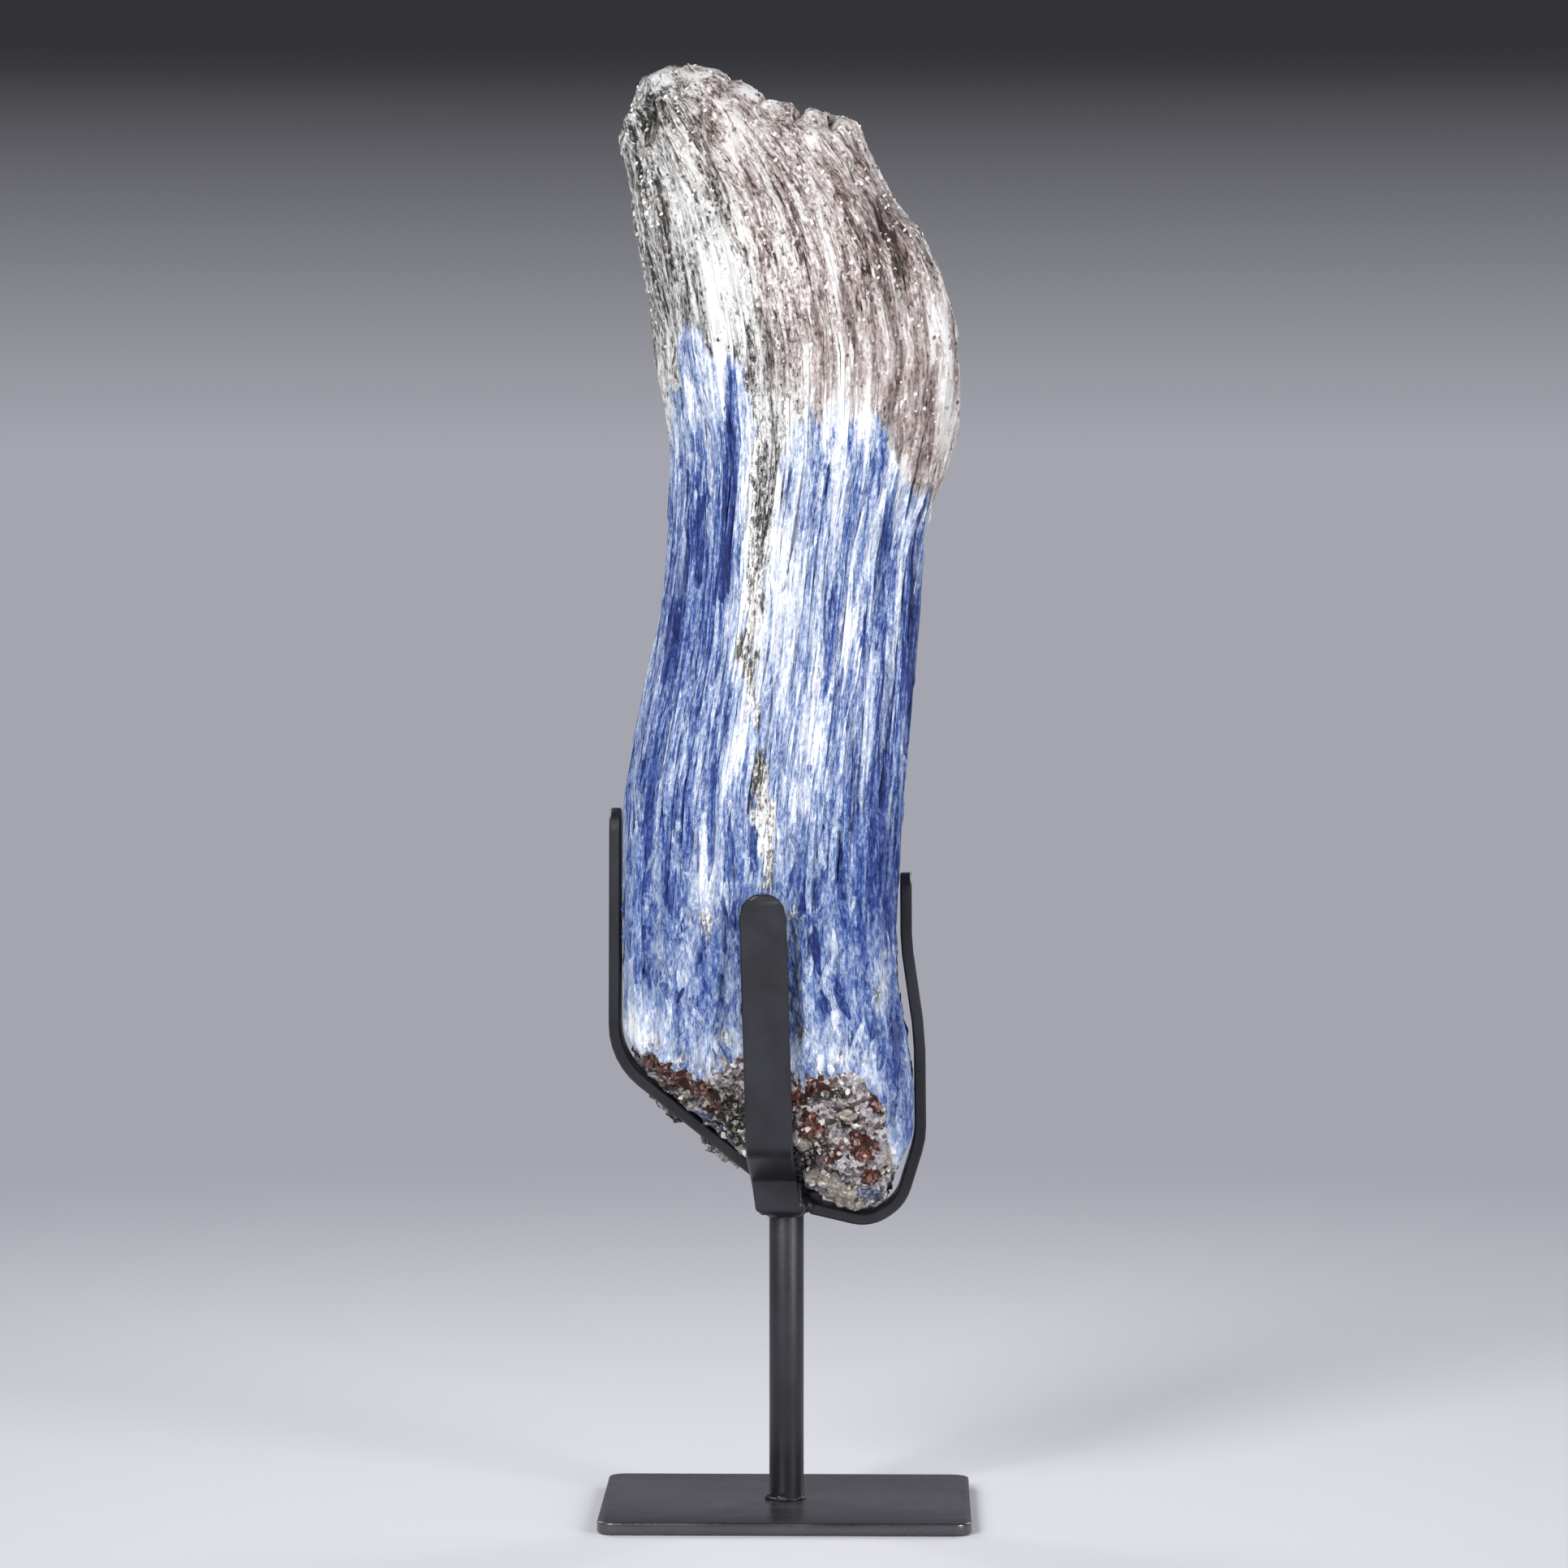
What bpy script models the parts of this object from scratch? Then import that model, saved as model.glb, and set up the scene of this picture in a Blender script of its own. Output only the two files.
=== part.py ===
"""Kyanite blade cluster held upright by a welded steel display stand.

The specimen is one grown piece: a bundle of long kyanite blades that runs up into a mantle of mica schist
and ends below in a broken face with garnets. The stand is a flat base plate, a round post and four bent
flat bars. The origin is the middle of the base plate's underside, +X is to the viewer's right, +Y is away
from the viewer and +Z is up. Sizes are in millimetres until MM turns them into metres.
"""

import math
import random

import bmesh
import bpy
import numpy as np
from mathutils import Euler, Matrix, Vector
from mathutils.bvhtree import BVHTree

MM = 0.001
GAP = 0.3  # clearance between solids that touch

# Stand: inch stock, a 4 by 3 inch plate, 3/8 inch rod and 1/2 by 1/8 inch flat bar
PLATE_WIDTH = 101.6
PLATE_DEPTH = 76.2
PLATE_THICKNESS = 3.2
PLATE_CORNER_RADIUS = 5.0
PLATE_EDGE_BEVEL = 0.5
POST_RADIUS = 4.76
POST_HEAD_RADIUS = 6.35
POST_HEAD_BOTTOM = 83.6
POST_TOP = 87.0
FOOT_WELD_RADIUS = 6.6
WELD_HEIGHT = 2.8
BAR_WIDTH = 12.7
BAR_THICKNESS = 3.175
BAR_EDGE_BEVEL = 0.45
BEND_STEP = math.radians(9)

# Specimen: edges of the front view as (height, x), and of the side view as (height, y)
STONE_LEFT = ((84, -45.5), (140, -44.6), (158, -44.9), (184, -44.0), (202, -42.9), (207, -41.2), (225, -38.9),
              (228, -36.7), (245, -34.4), (262, -32.2), (280, -31.1), (298, -30.4), (303, -32.8), (312, -35.2),
              (327, -36.2), (342, -39.6), (360, -43.0), (377, -46.4), (399, -46.0))
STONE_RIGHT = ((84, 35.6), (120, 35.7), (135, 33.5), (146, 31.4), (160, 30.2), (185, 31.4), (216, 33.2),
               (243, 35.8), (263, 37.2), (276, 40.0), (289, 44.2), (302, 47.2), (314, 47.8), (329, 46.4),
               (342, 42.3), (351, 37.4), (360, 31.0), (373, 23.0), (382, 18.8), (399, 17.5))
STONE_FRONT = ((84, -24.0), (112, -27.6), (160, -28.4), (200, -27.6), (240, -25.6), (280, -26.4), (312, -29.6),
               (345, -28.6), (375, -24.0), (399, -19.0))
STONE_BACK = ((84, 20.0), (112, 24.6), (160, 27.2), (200, 27.0), (240, 25.4), (280, 26.6), (312, 29.0),
              (345, 28.0), (375, 23.0), (399, 18.0))
# Height of the two broken ends along x
STONE_UNDERSIDE = ((-46, 136), (-43, 129), (-40, 124.6), (-36, 119), (-30, 113.8), (-21, 107), (-13, 100.4),
                   (-8, 96), (-3, 92.4), (6, 91), (10, 88.4), (15, 85.4), (21, 84.6), (27, 87.5), (30, 94),
                   (33, 98), (36, 108))
STONE_CROWN = ((-47, 375), (-44, 385), (-41, 391.6), (-38, 395.4), (-32.5, 397.6), (-26, 397.4), (-20.6, 396.8),
               (-15.3, 395.3), (-12, 393), (-7.8, 391), (-5.4, 388.2), (-0.3, 387.8), (8, 386.6), (16.8, 384.2),
               (19, 381))
CROSS_SECTION_POWER = 0.62  # 1 is an ellipse, smaller is boxier
CROWN_ROUNDING = 11.0
UNDERSIDE_ROUNDING = 15.0
UNDERSIDE_BACK_ROUNDING = 7.0
UNDERSIDE_BACK_DROP = 12.0
CAP_SCALES = (0.8, 0.56, 0.3)
CAP_ROUGHNESS = 0.9
RING_COUNT = 42
END_RING_CROWDING = 0.45

# Blades: laths side by side round the specimen, each broken off at its own heights
BLADE_WIDTHS = (5.5, 12.0)
BLADE_LENGTHS = (34.0, 105.0)
BLADE_STEP_IN = 2.1
BLADE_STEP_OUT = 0.5
BLADE_TILT = 0.6
BLADE_GROOVE = 0.55  # half the distance between two neighbouring laths' faces
WIDE_BLADE = 8.5
SCHIST_EDGE = ((-46, 303), (-30, 312), (-18, 318), (-4, 300), (12, 300), (26, 292), (38, 284), (48, 280))
SCHIST_OVERLAP = 0.1
SCHIST_FOLD = 0.9
SHAPE_SEED = 41

GARNET_COUNT = 18
GARNET_RADII = (1.5, 3.1)
GARNET_SINK = 0.35
GARNET_BAND_TOP = ((-34, 131), (-15, 120), (0, 117), (15, 120), (29, 119))
GARNET_BAND_DEPTH = 22.0
PROUD_BLADE_COUNT = 9
PROUD_BLADE_SIZE = (2.6, 2.2, 17.0)

# Bent bars, as corners of their middle line and the bend radius at each
LEFT_ARM = (((-46.9, 194.6), 0), ((-47.2, 125.6), 20), ((-1.3, 88.9), 6), ((5.6, 88.9), 0))
RIGHT_ARM = (((32.8, 176.9), 0), ((32.9, 157.5), 40), ((36.6, 132.0), 60), ((36.9, 104.0), 22),
             ((31.5, 86.4), 12), ((23.0, 80.9), 11), ((6.65, 84.7), 0))
FRONT_PRONG = (((-31.0, 173.2), 0), ((-31.6, 104.5), 9), ((-8.3, 93.8), 4), ((-8.3, 84.3), 0))
BACK_PRONG = (((30.6, 170.0), 0), ((30.9, 103.5), 9), ((8.3, 93.8), 4), ((8.3, 84.3), 0))
PRONG_TOP_X = -5.9
PRONG_LEAN_END = 100.0
PRONG_FOOT_X = -1.9

BLACK_STEEL = (0.024, 0.025, 0.029, 1.0)
KYANITE_BLUE = (0.10, 0.20, 0.52, 1.0)


def table_value(table, at):
    """The second column of a two-column table where its first column reaches the given value."""
    return float(np.interp(at, [row[0] for row in table], [row[1] for row in table]))


def smooth_step(low, high, value):
    """From 0 at low to 1 at high. High may be the lower of the two."""
    share = min(1.0, max(0.0, (value - low) / (high - low)))
    return share * share * (3 - 2 * share)


def clear_scene():
    for obj in list(bpy.data.objects):
        bpy.data.objects.remove(obj)


def make_material(name, colour, roughness, metallic):
    material = bpy.data.materials.new(name)
    material.use_nodes = True
    shader = material.node_tree.nodes["Principled BSDF"]
    shader.inputs["Base Color"].default_value = colour
    shader.inputs["Roughness"].default_value = roughness
    shader.inputs["Metallic"].default_value = metallic
    return material


def object_from_bmesh(name, mesh_builder, material):
    """Turns a bmesh drawn in millimetres into an object in metres."""
    bmesh.ops.scale(mesh_builder, vec=(MM, MM, MM), verts=mesh_builder.verts)
    bmesh.ops.recalc_face_normals(mesh_builder, faces=mesh_builder.faces)
    mesh = bpy.data.meshes.new(name)
    mesh_builder.to_mesh(mesh)
    mesh_builder.free()
    mesh.materials.append(material)
    obj = bpy.data.objects.new(name, mesh)
    bpy.context.scene.collection.objects.link(obj)
    return obj


def add_bevel(obj, width, segments):
    bevel = obj.modifiers.new("edge", "BEVEL")
    bevel.width = width * MM
    bevel.segments = segments
    bevel.limit_method = "ANGLE"
    bevel.angle_limit = math.radians(40)


def make_base_plate(material):
    build = bmesh.new()
    bmesh.ops.create_cube(build, size=1.0)
    bmesh.ops.scale(build, vec=(PLATE_WIDTH, PLATE_DEPTH, PLATE_THICKNESS), verts=build.verts)
    bmesh.ops.translate(build, vec=(0, 0, PLATE_THICKNESS / 2), verts=build.verts)
    upright = [e for e in build.edges if abs(e.verts[0].co.z - e.verts[1].co.z) > PLATE_THICKNESS / 2]
    bmesh.ops.bevel(build, geom=upright, offset=PLATE_CORNER_RADIUS, segments=6, profile=0.5, affect="EDGES")
    plate = object_from_bmesh("base_plate", build, material)
    add_bevel(plate, PLATE_EDGE_BEVEL, 2)
    return plate


def post_profile():
    """Half the post's outline from its top to its foot, with a concave weld fillet at each end."""
    fillet = [math.radians(a) for a in (0, 30, 60, 90)]
    head_flare = POST_HEAD_RADIUS - POST_RADIUS
    foot_flare = FOOT_WELD_RADIUS - POST_RADIUS
    foot = PLATE_THICKNESS + GAP
    points = [(0, POST_TOP), (POST_HEAD_RADIUS - 0.5, POST_TOP), (POST_HEAD_RADIUS, POST_TOP - 0.5)]
    points += [(POST_HEAD_RADIUS - head_flare * math.sin(a),
                POST_HEAD_BOTTOM - WELD_HEIGHT * (1 - math.cos(a))) for a in fillet]
    points += [(FOOT_WELD_RADIUS - foot_flare * math.sin(a),
                foot + 0.4 + WELD_HEIGHT * (1 - math.cos(a))) for a in reversed(fillet)]
    points += [(FOOT_WELD_RADIUS, foot), (0, foot)]
    return points


def make_post(material):
    """A turned rod: the profile is swept round Z by a Screw modifier."""
    build = bmesh.new()
    rim = [build.verts.new((r, 0, z)) for r, z in post_profile()]
    for upper, lower in zip(rim, rim[1:]):
        build.edges.new((upper, lower))
    post = object_from_bmesh("post", build, material)
    screw = post.modifiers.new("turn", "SCREW")
    screw.steps = screw.render_steps = 24
    screw.use_merge_vertices = True
    screw.merge_threshold = 0.00001
    screw.use_smooth_shade = True
    return post


def bent_path(corners):
    """Points along straight runs joined by arcs, with the direction of travel at each."""
    points = []
    for index, (corner, radius) in enumerate(corners):
        here = Vector(corner)
        if index in (0, len(corners) - 1):
            other = Vector(corners[1][0]) if index == 0 else Vector(corners[-2][0])
            along = (other - here).normalized() if index == 0 else (here - other).normalized()
            points.append((here, along))
            continue
        arriving = (here - Vector(corners[index - 1][0])).normalized()
        leaving = (Vector(corners[index + 1][0]) - here).normalized()
        turn = arriving.angle_signed(leaving)  # clockwise turns are positive
        setback = radius * math.tan(abs(turn) / 2)
        side = math.copysign(1.0, turn)
        inward = Vector((arriving.y, -arriving.x)) * side
        centre = here - arriving * setback + inward * radius
        steps = max(1, math.ceil(abs(turn) / BEND_STEP))
        for step in range(steps + 1):
            angle = -turn * step / steps
            spoke = -inward
            spoke.rotate(flat_turn(angle))
            heading = arriving.copy()
            heading.rotate(flat_turn(angle))
            points.append((centre + spoke * radius, heading))
    return points


def flat_turn(angle):
    return Matrix.Rotation(angle, 2)


def tip_stations(points):
    """Adds stations close to the path's start, where the bar narrows to its round tip."""
    start, heading = points[0]
    radius = BAR_WIDTH / 2
    angles = [math.radians(a) for a in (14, 28, 44, 62, 90)]
    tip = [(start + heading * radius * (1 - math.cos(a)), heading, 2 * radius * math.sin(a)) for a in angles]
    return tip + [(point, along, BAR_WIDTH) for point, along in points[1:]]


def bar_mesh(corners, place, thickness=BAR_THICKNESS, extra_width=0.0):
    """Sweeps a flat bar along a bent path. place turns (run, height, across) into a point."""
    build = bmesh.new()
    previous = None
    for point, heading, width in tip_stations(bent_path(corners)):
        normal = Vector((-heading.y, heading.x)) * thickness / 2
        half = (width + extra_width) / 2
        ring = [build.verts.new(place(point + normal * n, w * half))
                for n, w in ((1, -1), (1, 1), (-1, 1), (-1, -1))]
        if previous is None:
            build.faces.new(ring)
        else:
            for k in range(4):
                build.faces.new((previous[k], previous[(k + 1) % 4], ring[(k + 1) % 4], ring[k]))
        previous = ring
    build.faces.new(previous[::-1])
    return build


def side_place(point, across):
    """A side arm runs in the plane of the front view and is wide from front to back."""
    return (point.x, across, point.y)


def prong_place(point, across):
    """A prong runs in the plane of the side view and leans over to the post at its foot."""
    lean = smooth_step(POST_HEAD_BOTTOM, PRONG_LEAN_END, point.y) * 0.55
    lean += smooth_step(PRONG_LEAN_END, FRONT_PRONG[0][0][1], point.y) * 0.45
    return (PRONG_FOOT_X + (PRONG_TOP_X - PRONG_FOOT_X) * lean + across, point.x, point.y)


BARS = {
    "left_arm": (LEFT_ARM, side_place),
    "right_arm": (RIGHT_ARM, side_place),
    "front_prong": (FRONT_PRONG, prong_place),
    "back_prong": (BACK_PRONG, prong_place),
}


def make_bars(material):
    for name, (corners, place) in BARS.items():
        bar = object_from_bmesh(name, bar_mesh(corners, place), material)
        add_bevel(bar, BAR_EDGE_BEVEL, 1)


def bar_clearances(material):
    """The bars made thicker and wider by the gap, as cutters for the specimen."""
    cutters = []
    for name, (corners, place) in BARS.items():
        build = bar_mesh(corners, place, BAR_THICKNESS + 2 * GAP, 2 * GAP)
        cutter = object_from_bmesh("clearance_" + name, build, material)
        cutter.hide_render = True
        cutter.display_type = "WIRE"
        cutters.append(cutter)
    return cutters


def superellipse(angle):
    """A point on the boxy cross-section, in half-widths."""
    c, s = math.cos(angle), math.sin(angle)
    return (math.copysign(abs(c) ** CROSS_SECTION_POWER, c), math.copysign(abs(s) ** CROSS_SECTION_POWER, s))


def outward(angle, half_width, half_depth):
    c, s = math.cos(angle), math.sin(angle)
    power = 2 - CROSS_SECTION_POWER
    return Vector((math.copysign(abs(c) ** power, c) / half_width,
                   math.copysign(abs(s) ** power, s) / half_depth)).normalized()


class Blade:
    """One lath on the specimen's side, as a stack of lengths with their own depth and tilt."""

    def __init__(self, rng, columns):
        self.columns = columns
        self.breaks = [84 - rng.uniform(0, BLADE_LENGTHS[1])]
        while self.breaks[-1] < 400:
            self.breaks.append(self.breaks[-1] + rng.uniform(*BLADE_LENGTHS))
        self.steps = [rng.uniform(-BLADE_STEP_IN, BLADE_STEP_OUT) for _ in self.breaks]
        self.tilts = [rng.uniform(-BLADE_TILT, BLADE_TILT) for _ in self.breaks]

    def relief(self, across, height):
        """Depth of the lath's face; across runs from -1 to 1 over its width."""
        index = int(np.searchsorted(self.breaks, height)) - 1
        return self.steps[index] + self.tilts[index] * across


def lay_out_blades(rng):
    """Shares the perimeter out among blades and gives each its columns, as angles and places across it."""
    half_width, half_depth, count = 37.0, 27.0, 2400
    angles = np.linspace(0, 2 * math.pi, count + 1)
    rim = np.array([superellipse(a) for a in angles]) * (half_width, half_depth)
    walked = np.concatenate(([0], np.cumsum(np.linalg.norm(np.diff(rim, axis=0), axis=1))))
    blades, at = [], 0.0
    while at < walked[-1] - BLADE_WIDTHS[0] / 2:
        width = min(rng.uniform(*BLADE_WIDTHS), walked[-1] - at)
        if walked[-1] - at - width < BLADE_WIDTHS[0] / 2:
            width = walked[-1] - at
        shares = (-1, 0, 1) if width > WIDE_BLADE else (-1, 1)
        reach = width / 2 - BLADE_GROOVE
        places = [at + width / 2 + share * reach for share in shares]
        blades.append(Blade(rng, [(float(np.interp(p, walked, angles)), s) for p, s in zip(places, shares)]))
        at += width
    return blades


def fold_noise(x, y, z):
    """Long waves that run up the schist."""
    return (math.sin(0.55 * x + 0.35 * y + 0.021 * z) * 0.6 + math.sin(0.23 * x - 0.6 * y + 0.045 * z + 2) * 0.5
            + math.sin(0.31 * y + 0.13 * z) * 0.35)


def cap_noise(x, y):
    """Broken blade ends: small flats at different heights."""
    cell = math.sin(math.floor(x / 4.1) * 12.9898 + math.floor(y / 5.3) * 78.233) * 43758.5453
    return (cell - math.floor(cell)) * 2 - 1


def crown_height(x, y_share):
    return table_value(STONE_CROWN, x) - CROWN_ROUNDING * abs(y_share) ** 2.6


def underside_height(x, y_share, y):
    """Rises to the front, and hangs down behind the left arm."""
    lumps = 0.8 + 0.2 * math.sin(x / 1.9)
    drop = UNDERSIDE_BACK_DROP * lumps * smooth_step(6.9, 12, y) * smooth_step(-7, -13, x)
    rounding = UNDERSIDE_BACK_ROUNDING if y > 0 else UNDERSIDE_ROUNDING
    return table_value(STONE_UNDERSIDE, x) + rounding * abs(y_share) ** 3 - drop


def section_at(height):
    left, right = table_value(STONE_LEFT, height), table_value(STONE_RIGHT, height)
    front, back = table_value(STONE_FRONT, height), table_value(STONE_BACK, height)
    return (left + right) / 2, (right - left) / 2, (front + back) / 2, (back - front) / 2


def wall_point(blade, angle, across, share):
    """A point on the specimen's side: share runs from 0 on the underside's rim to 1 on the crown's."""
    c, s = superellipse(angle)
    low_x, low_half, low_y, low_depth = section_at(STONE_LEFT[0][0] + 16)
    top_x, top_half, _, _ = section_at(STONE_LEFT[-1][0] - 10)
    low = underside_height(low_x + low_half * c, s, low_y + low_depth * s)
    high = crown_height(top_x + top_half * c, s)
    height = low + (high - low) * share
    x, half_width, y, half_depth = section_at(height)
    schist = smooth_step(-2, 4, height - table_value(SCHIST_EDGE, x + half_width * c))
    lath = blade.relief(across, height) * (1 - 0.6 * schist)
    fold = SCHIST_FOLD * fold_noise(half_width * c, half_depth * s, height) + SCHIST_OVERLAP
    push = outward(angle, half_width, half_depth) * (lath + fold * schist)
    return Vector((x + half_width * c + push.x, y + half_depth * s + push.y, height))


def cap_rings(build, rim, height_of):
    """Closes one end with shrinking rings that follow the broken surface."""
    middle = sum((v.co for v in rim), Vector()) / len(rim)
    rings = []
    for scale in CAP_SCALES:
        ring = []
        for vert in rim:
            flat = middle + (vert.co - middle) * scale
            flat.z = height_of(flat.x, flat.y, scale)
            ring.append(build.verts.new(flat))
        rings.append(ring)
    tip = build.verts.new((middle.x, middle.y, height_of(middle.x, middle.y, 0)))
    return rings, tip


def skin(build, rings, tips):
    for lower, upper in zip(rings, rings[1:]):
        for k in range(len(lower)):
            after = (k + 1) % len(lower)
            build.faces.new((lower[k], lower[after], upper[after], upper[k]))
    for ring, tip in zip((rings[0], rings[-1]), tips):
        for k in range(len(ring)):
            build.faces.new((ring[k], ring[(k + 1) % len(ring)], tip))


def specimen_bmesh():
    rng = random.Random(SHAPE_SEED)
    blades = lay_out_blades(rng)
    columns = [(blade, angle, across) for blade in blades for angle, across in blade.columns]
    build = bmesh.new()
    wall = []
    for index in range(RING_COUNT):
        even = index / (RING_COUNT - 1)
        share = even - END_RING_CROWDING * math.sin(2 * math.pi * even) / (2 * math.pi)
        wall.append([build.verts.new(wall_point(*column, share)) for column in columns])

    def crown(x, y, scale):
        return crown_height(x, scale * y / STONE_BACK[-1][1]) + CAP_ROUGHNESS * cap_noise(x, y)

    def underside(x, y, scale):
        return underside_height(x, scale * y / STONE_BACK[0][1], y) + CAP_ROUGHNESS * abs(cap_noise(y, x))

    crown_rings, crown_tip = cap_rings(build, wall[-1], crown)
    under_rings, under_tip = cap_rings(build, wall[0], underside)
    skin(build, under_rings[::-1] + wall + crown_rings, (under_tip, crown_tip))
    bmesh.ops.recalc_face_normals(build, faces=build.faces)
    return build


def rhombic_dodecahedron(build, centre, radius, turn):
    """A garnet: the twelve-sided crystal form."""
    corners = [Vector((x, y, z)) for x in (-1, 1) for y in (-1, 1) for z in (-1, 1)]
    corners += [Vector(axis) * 2 * sign for axis in ((1, 0, 0), (0, 1, 0), (0, 0, 1)) for sign in (-1, 1)]
    verts = []
    for corner in corners:
        corner = corner * radius / 1.8
        corner.rotate(turn)
        verts.append(build.verts.new(centre + corner))
    bmesh.ops.convex_hull(build, input=verts)


def lath_crystal(build, centre, size, turn):
    """A kyanite blade that stands proud: a flat six-sided bar with a skewed end."""
    half = [s / 2 for s in size]
    outline = ((-1, -0.6), (-0.6, -1), (0.6, -1), (1, -0.6), (1, 1), (-1, 1))
    verts = []
    for end in (-1, 1):
        for a, b in outline:
            corner = Vector((a * half[0], b * half[1], end * half[2] + a * half[0] * 0.6))
            corner.rotate(turn)
            verts.append(build.verts.new(centre + corner))
    bmesh.ops.convex_hull(build, input=verts)


def random_turn(rng, reach=math.pi):
    return Euler([rng.uniform(-reach, reach) for _ in range(3)])


def proud_crystals(surface, material):
    """Garnets in the broken lower face and blades on the lower front, each one closed solid."""
    rng = random.Random(SHAPE_SEED + 1)
    crystals = []
    for index in range(GARNET_COUNT):
        x = GARNET_BAND_TOP[0][0] + 3 + (index + 0.5) / GARNET_COUNT * 59
        z = table_value(GARNET_BAND_TOP, x) - rng.uniform(1, GARNET_BAND_DEPTH)
        hit = surface.ray_cast(Vector((x, -90, z)), Vector((0, 1, 0)))
        if hit[0] is None:
            continue
        build = bmesh.new()
        radius = rng.uniform(*GARNET_RADII)
        rhombic_dodecahedron(build, hit[0] - hit[1] * radius * GARNET_SINK, radius, random_turn(rng))
        crystals.append(object_from_bmesh(f"garnet_{index}", build, material))
    for index in range(PROUD_BLADE_COUNT):
        x, z = rng.uniform(5, 26) if index % 3 else rng.uniform(-34, -14), rng.uniform(124, 172)
        hit = surface.ray_cast(Vector((x, -90, z)), Vector((0, 1, 0)))
        build = bmesh.new()
        turn = Euler((rng.uniform(-0.03, 0.03), rng.uniform(-0.35, 0.5), rng.uniform(-0.3, 0.3)))
        lath_crystal(build, hit[0], PROUD_BLADE_SIZE, turn)
        crystals.append(object_from_bmesh(f"proud_blade_{index}", build, material))
    return crystals


def apply_boolean(obj, other, operation):
    boolean = obj.modifiers.new(other.name, "BOOLEAN")
    boolean.object = other
    boolean.operation = operation
    bpy.context.view_layer.update()
    graph = bpy.context.evaluated_depsgraph_get()
    mesh = bpy.data.meshes.new_from_object(obj.evaluated_get(graph))
    obj.modifiers.clear()
    obj.data = mesh


def keep_largest_body(obj):
    """Drops the slivers that the clearance cuts leave behind."""
    build = bmesh.new()
    build.from_mesh(obj.data)
    unseen, bodies = set(build.verts), []
    while unseen:
        body, edge_of_search = [], [unseen.pop()]
        while edge_of_search:
            vert = edge_of_search.pop()
            body.append(vert)
            fresh = {e.other_vert(vert) for e in vert.link_edges} & unseen
            unseen -= fresh
            edge_of_search += fresh
        bodies.append(body)
    bodies.sort(key=len)
    for sliver in bodies[:-1]:
        bmesh.ops.delete(build, geom=sliver, context="VERTS")
    build.to_mesh(obj.data)
    build.free()


def make_specimen(material):
    build = specimen_bmesh()
    surface = BVHTree.FromBMesh(build)
    specimen = object_from_bmesh("kyanite_specimen", build, material)
    for crystal in proud_crystals(surface, material):
        apply_boolean(specimen, crystal, "UNION")
        bpy.data.objects.remove(crystal)
    for cutter in bar_clearances(material):
        apply_boolean(specimen, cutter, "DIFFERENCE")
        bpy.data.objects.remove(cutter)
    keep_largest_body(specimen)


def main():
    clear_scene()
    steel = make_material("black_steel", BLACK_STEEL, 0.38, 0.0)
    make_base_plate(steel)
    make_post(steel)
    make_bars(steel)
    make_specimen(make_material("kyanite_and_schist", KYANITE_BLUE, 0.5, 0.0))


main()
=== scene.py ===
"""Dresses the kyanite specimen and its black steel stand, and sets up a small studio round them."""

import math
import random

import bmesh
import bpy
import numpy as np
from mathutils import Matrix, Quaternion, Vector, noise
from mathutils.bvhtree import BVHTree


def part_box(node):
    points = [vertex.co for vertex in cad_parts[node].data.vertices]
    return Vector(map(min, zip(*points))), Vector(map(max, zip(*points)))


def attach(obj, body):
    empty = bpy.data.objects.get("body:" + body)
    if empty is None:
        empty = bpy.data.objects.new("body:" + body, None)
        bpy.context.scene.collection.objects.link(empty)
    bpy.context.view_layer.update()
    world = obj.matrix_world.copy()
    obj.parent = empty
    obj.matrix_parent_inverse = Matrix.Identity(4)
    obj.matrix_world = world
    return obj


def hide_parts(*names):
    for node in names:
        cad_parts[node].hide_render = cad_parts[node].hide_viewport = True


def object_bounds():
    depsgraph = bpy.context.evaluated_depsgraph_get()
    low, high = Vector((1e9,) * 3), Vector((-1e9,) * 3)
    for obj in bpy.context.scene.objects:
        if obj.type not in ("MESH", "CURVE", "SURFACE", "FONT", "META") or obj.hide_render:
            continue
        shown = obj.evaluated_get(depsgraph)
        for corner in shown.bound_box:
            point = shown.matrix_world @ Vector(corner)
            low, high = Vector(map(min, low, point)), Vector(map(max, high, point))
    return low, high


bl_info = {
    "name": "Kyanite specimen on a stand",
    "version": (1, 0, 0),
    "blender": (4, 5, 0),
    "location": "View3D > Sidebar > Specimen",
    "description": "Builds a kyanite blade cluster, its steel stand and a plain studio",
    "category": "Object",
}

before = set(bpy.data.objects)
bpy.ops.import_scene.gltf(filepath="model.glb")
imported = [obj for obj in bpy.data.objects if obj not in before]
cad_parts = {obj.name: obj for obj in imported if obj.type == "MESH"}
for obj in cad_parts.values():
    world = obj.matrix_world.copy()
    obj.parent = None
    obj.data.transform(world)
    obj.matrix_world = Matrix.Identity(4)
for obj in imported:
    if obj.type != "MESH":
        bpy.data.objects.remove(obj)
CAD_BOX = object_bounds()

MM = 0.001
STEEL_SLOT = "black_steel"
STONE_SLOT = "kyanite_and_schist"
BARS = ("left_arm", "right_arm", "front_prong", "back_prong")

# The stone's tables and lengths are in mm. Settings, the stand and the studio are in metres.

# The stone's grain: height, middle of the front view and half its width there
GRAIN = np.array((
    (84, -4.5, 38.5), (140, -5.5, 38.7), (170, -7, 37.4), (200, -5.4, 37.4), (240, 0.2, 35.2),
    (265, 2.5, 35.2), (290, 5.8, 37.6), (320, 5.8, 41.6), (345, 1.2, 41.2), (361, -4.3, 39),
    (384, -18, 36.5), (400, -26, 37.8)))
GRAIN_HALF = 37.0

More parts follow.
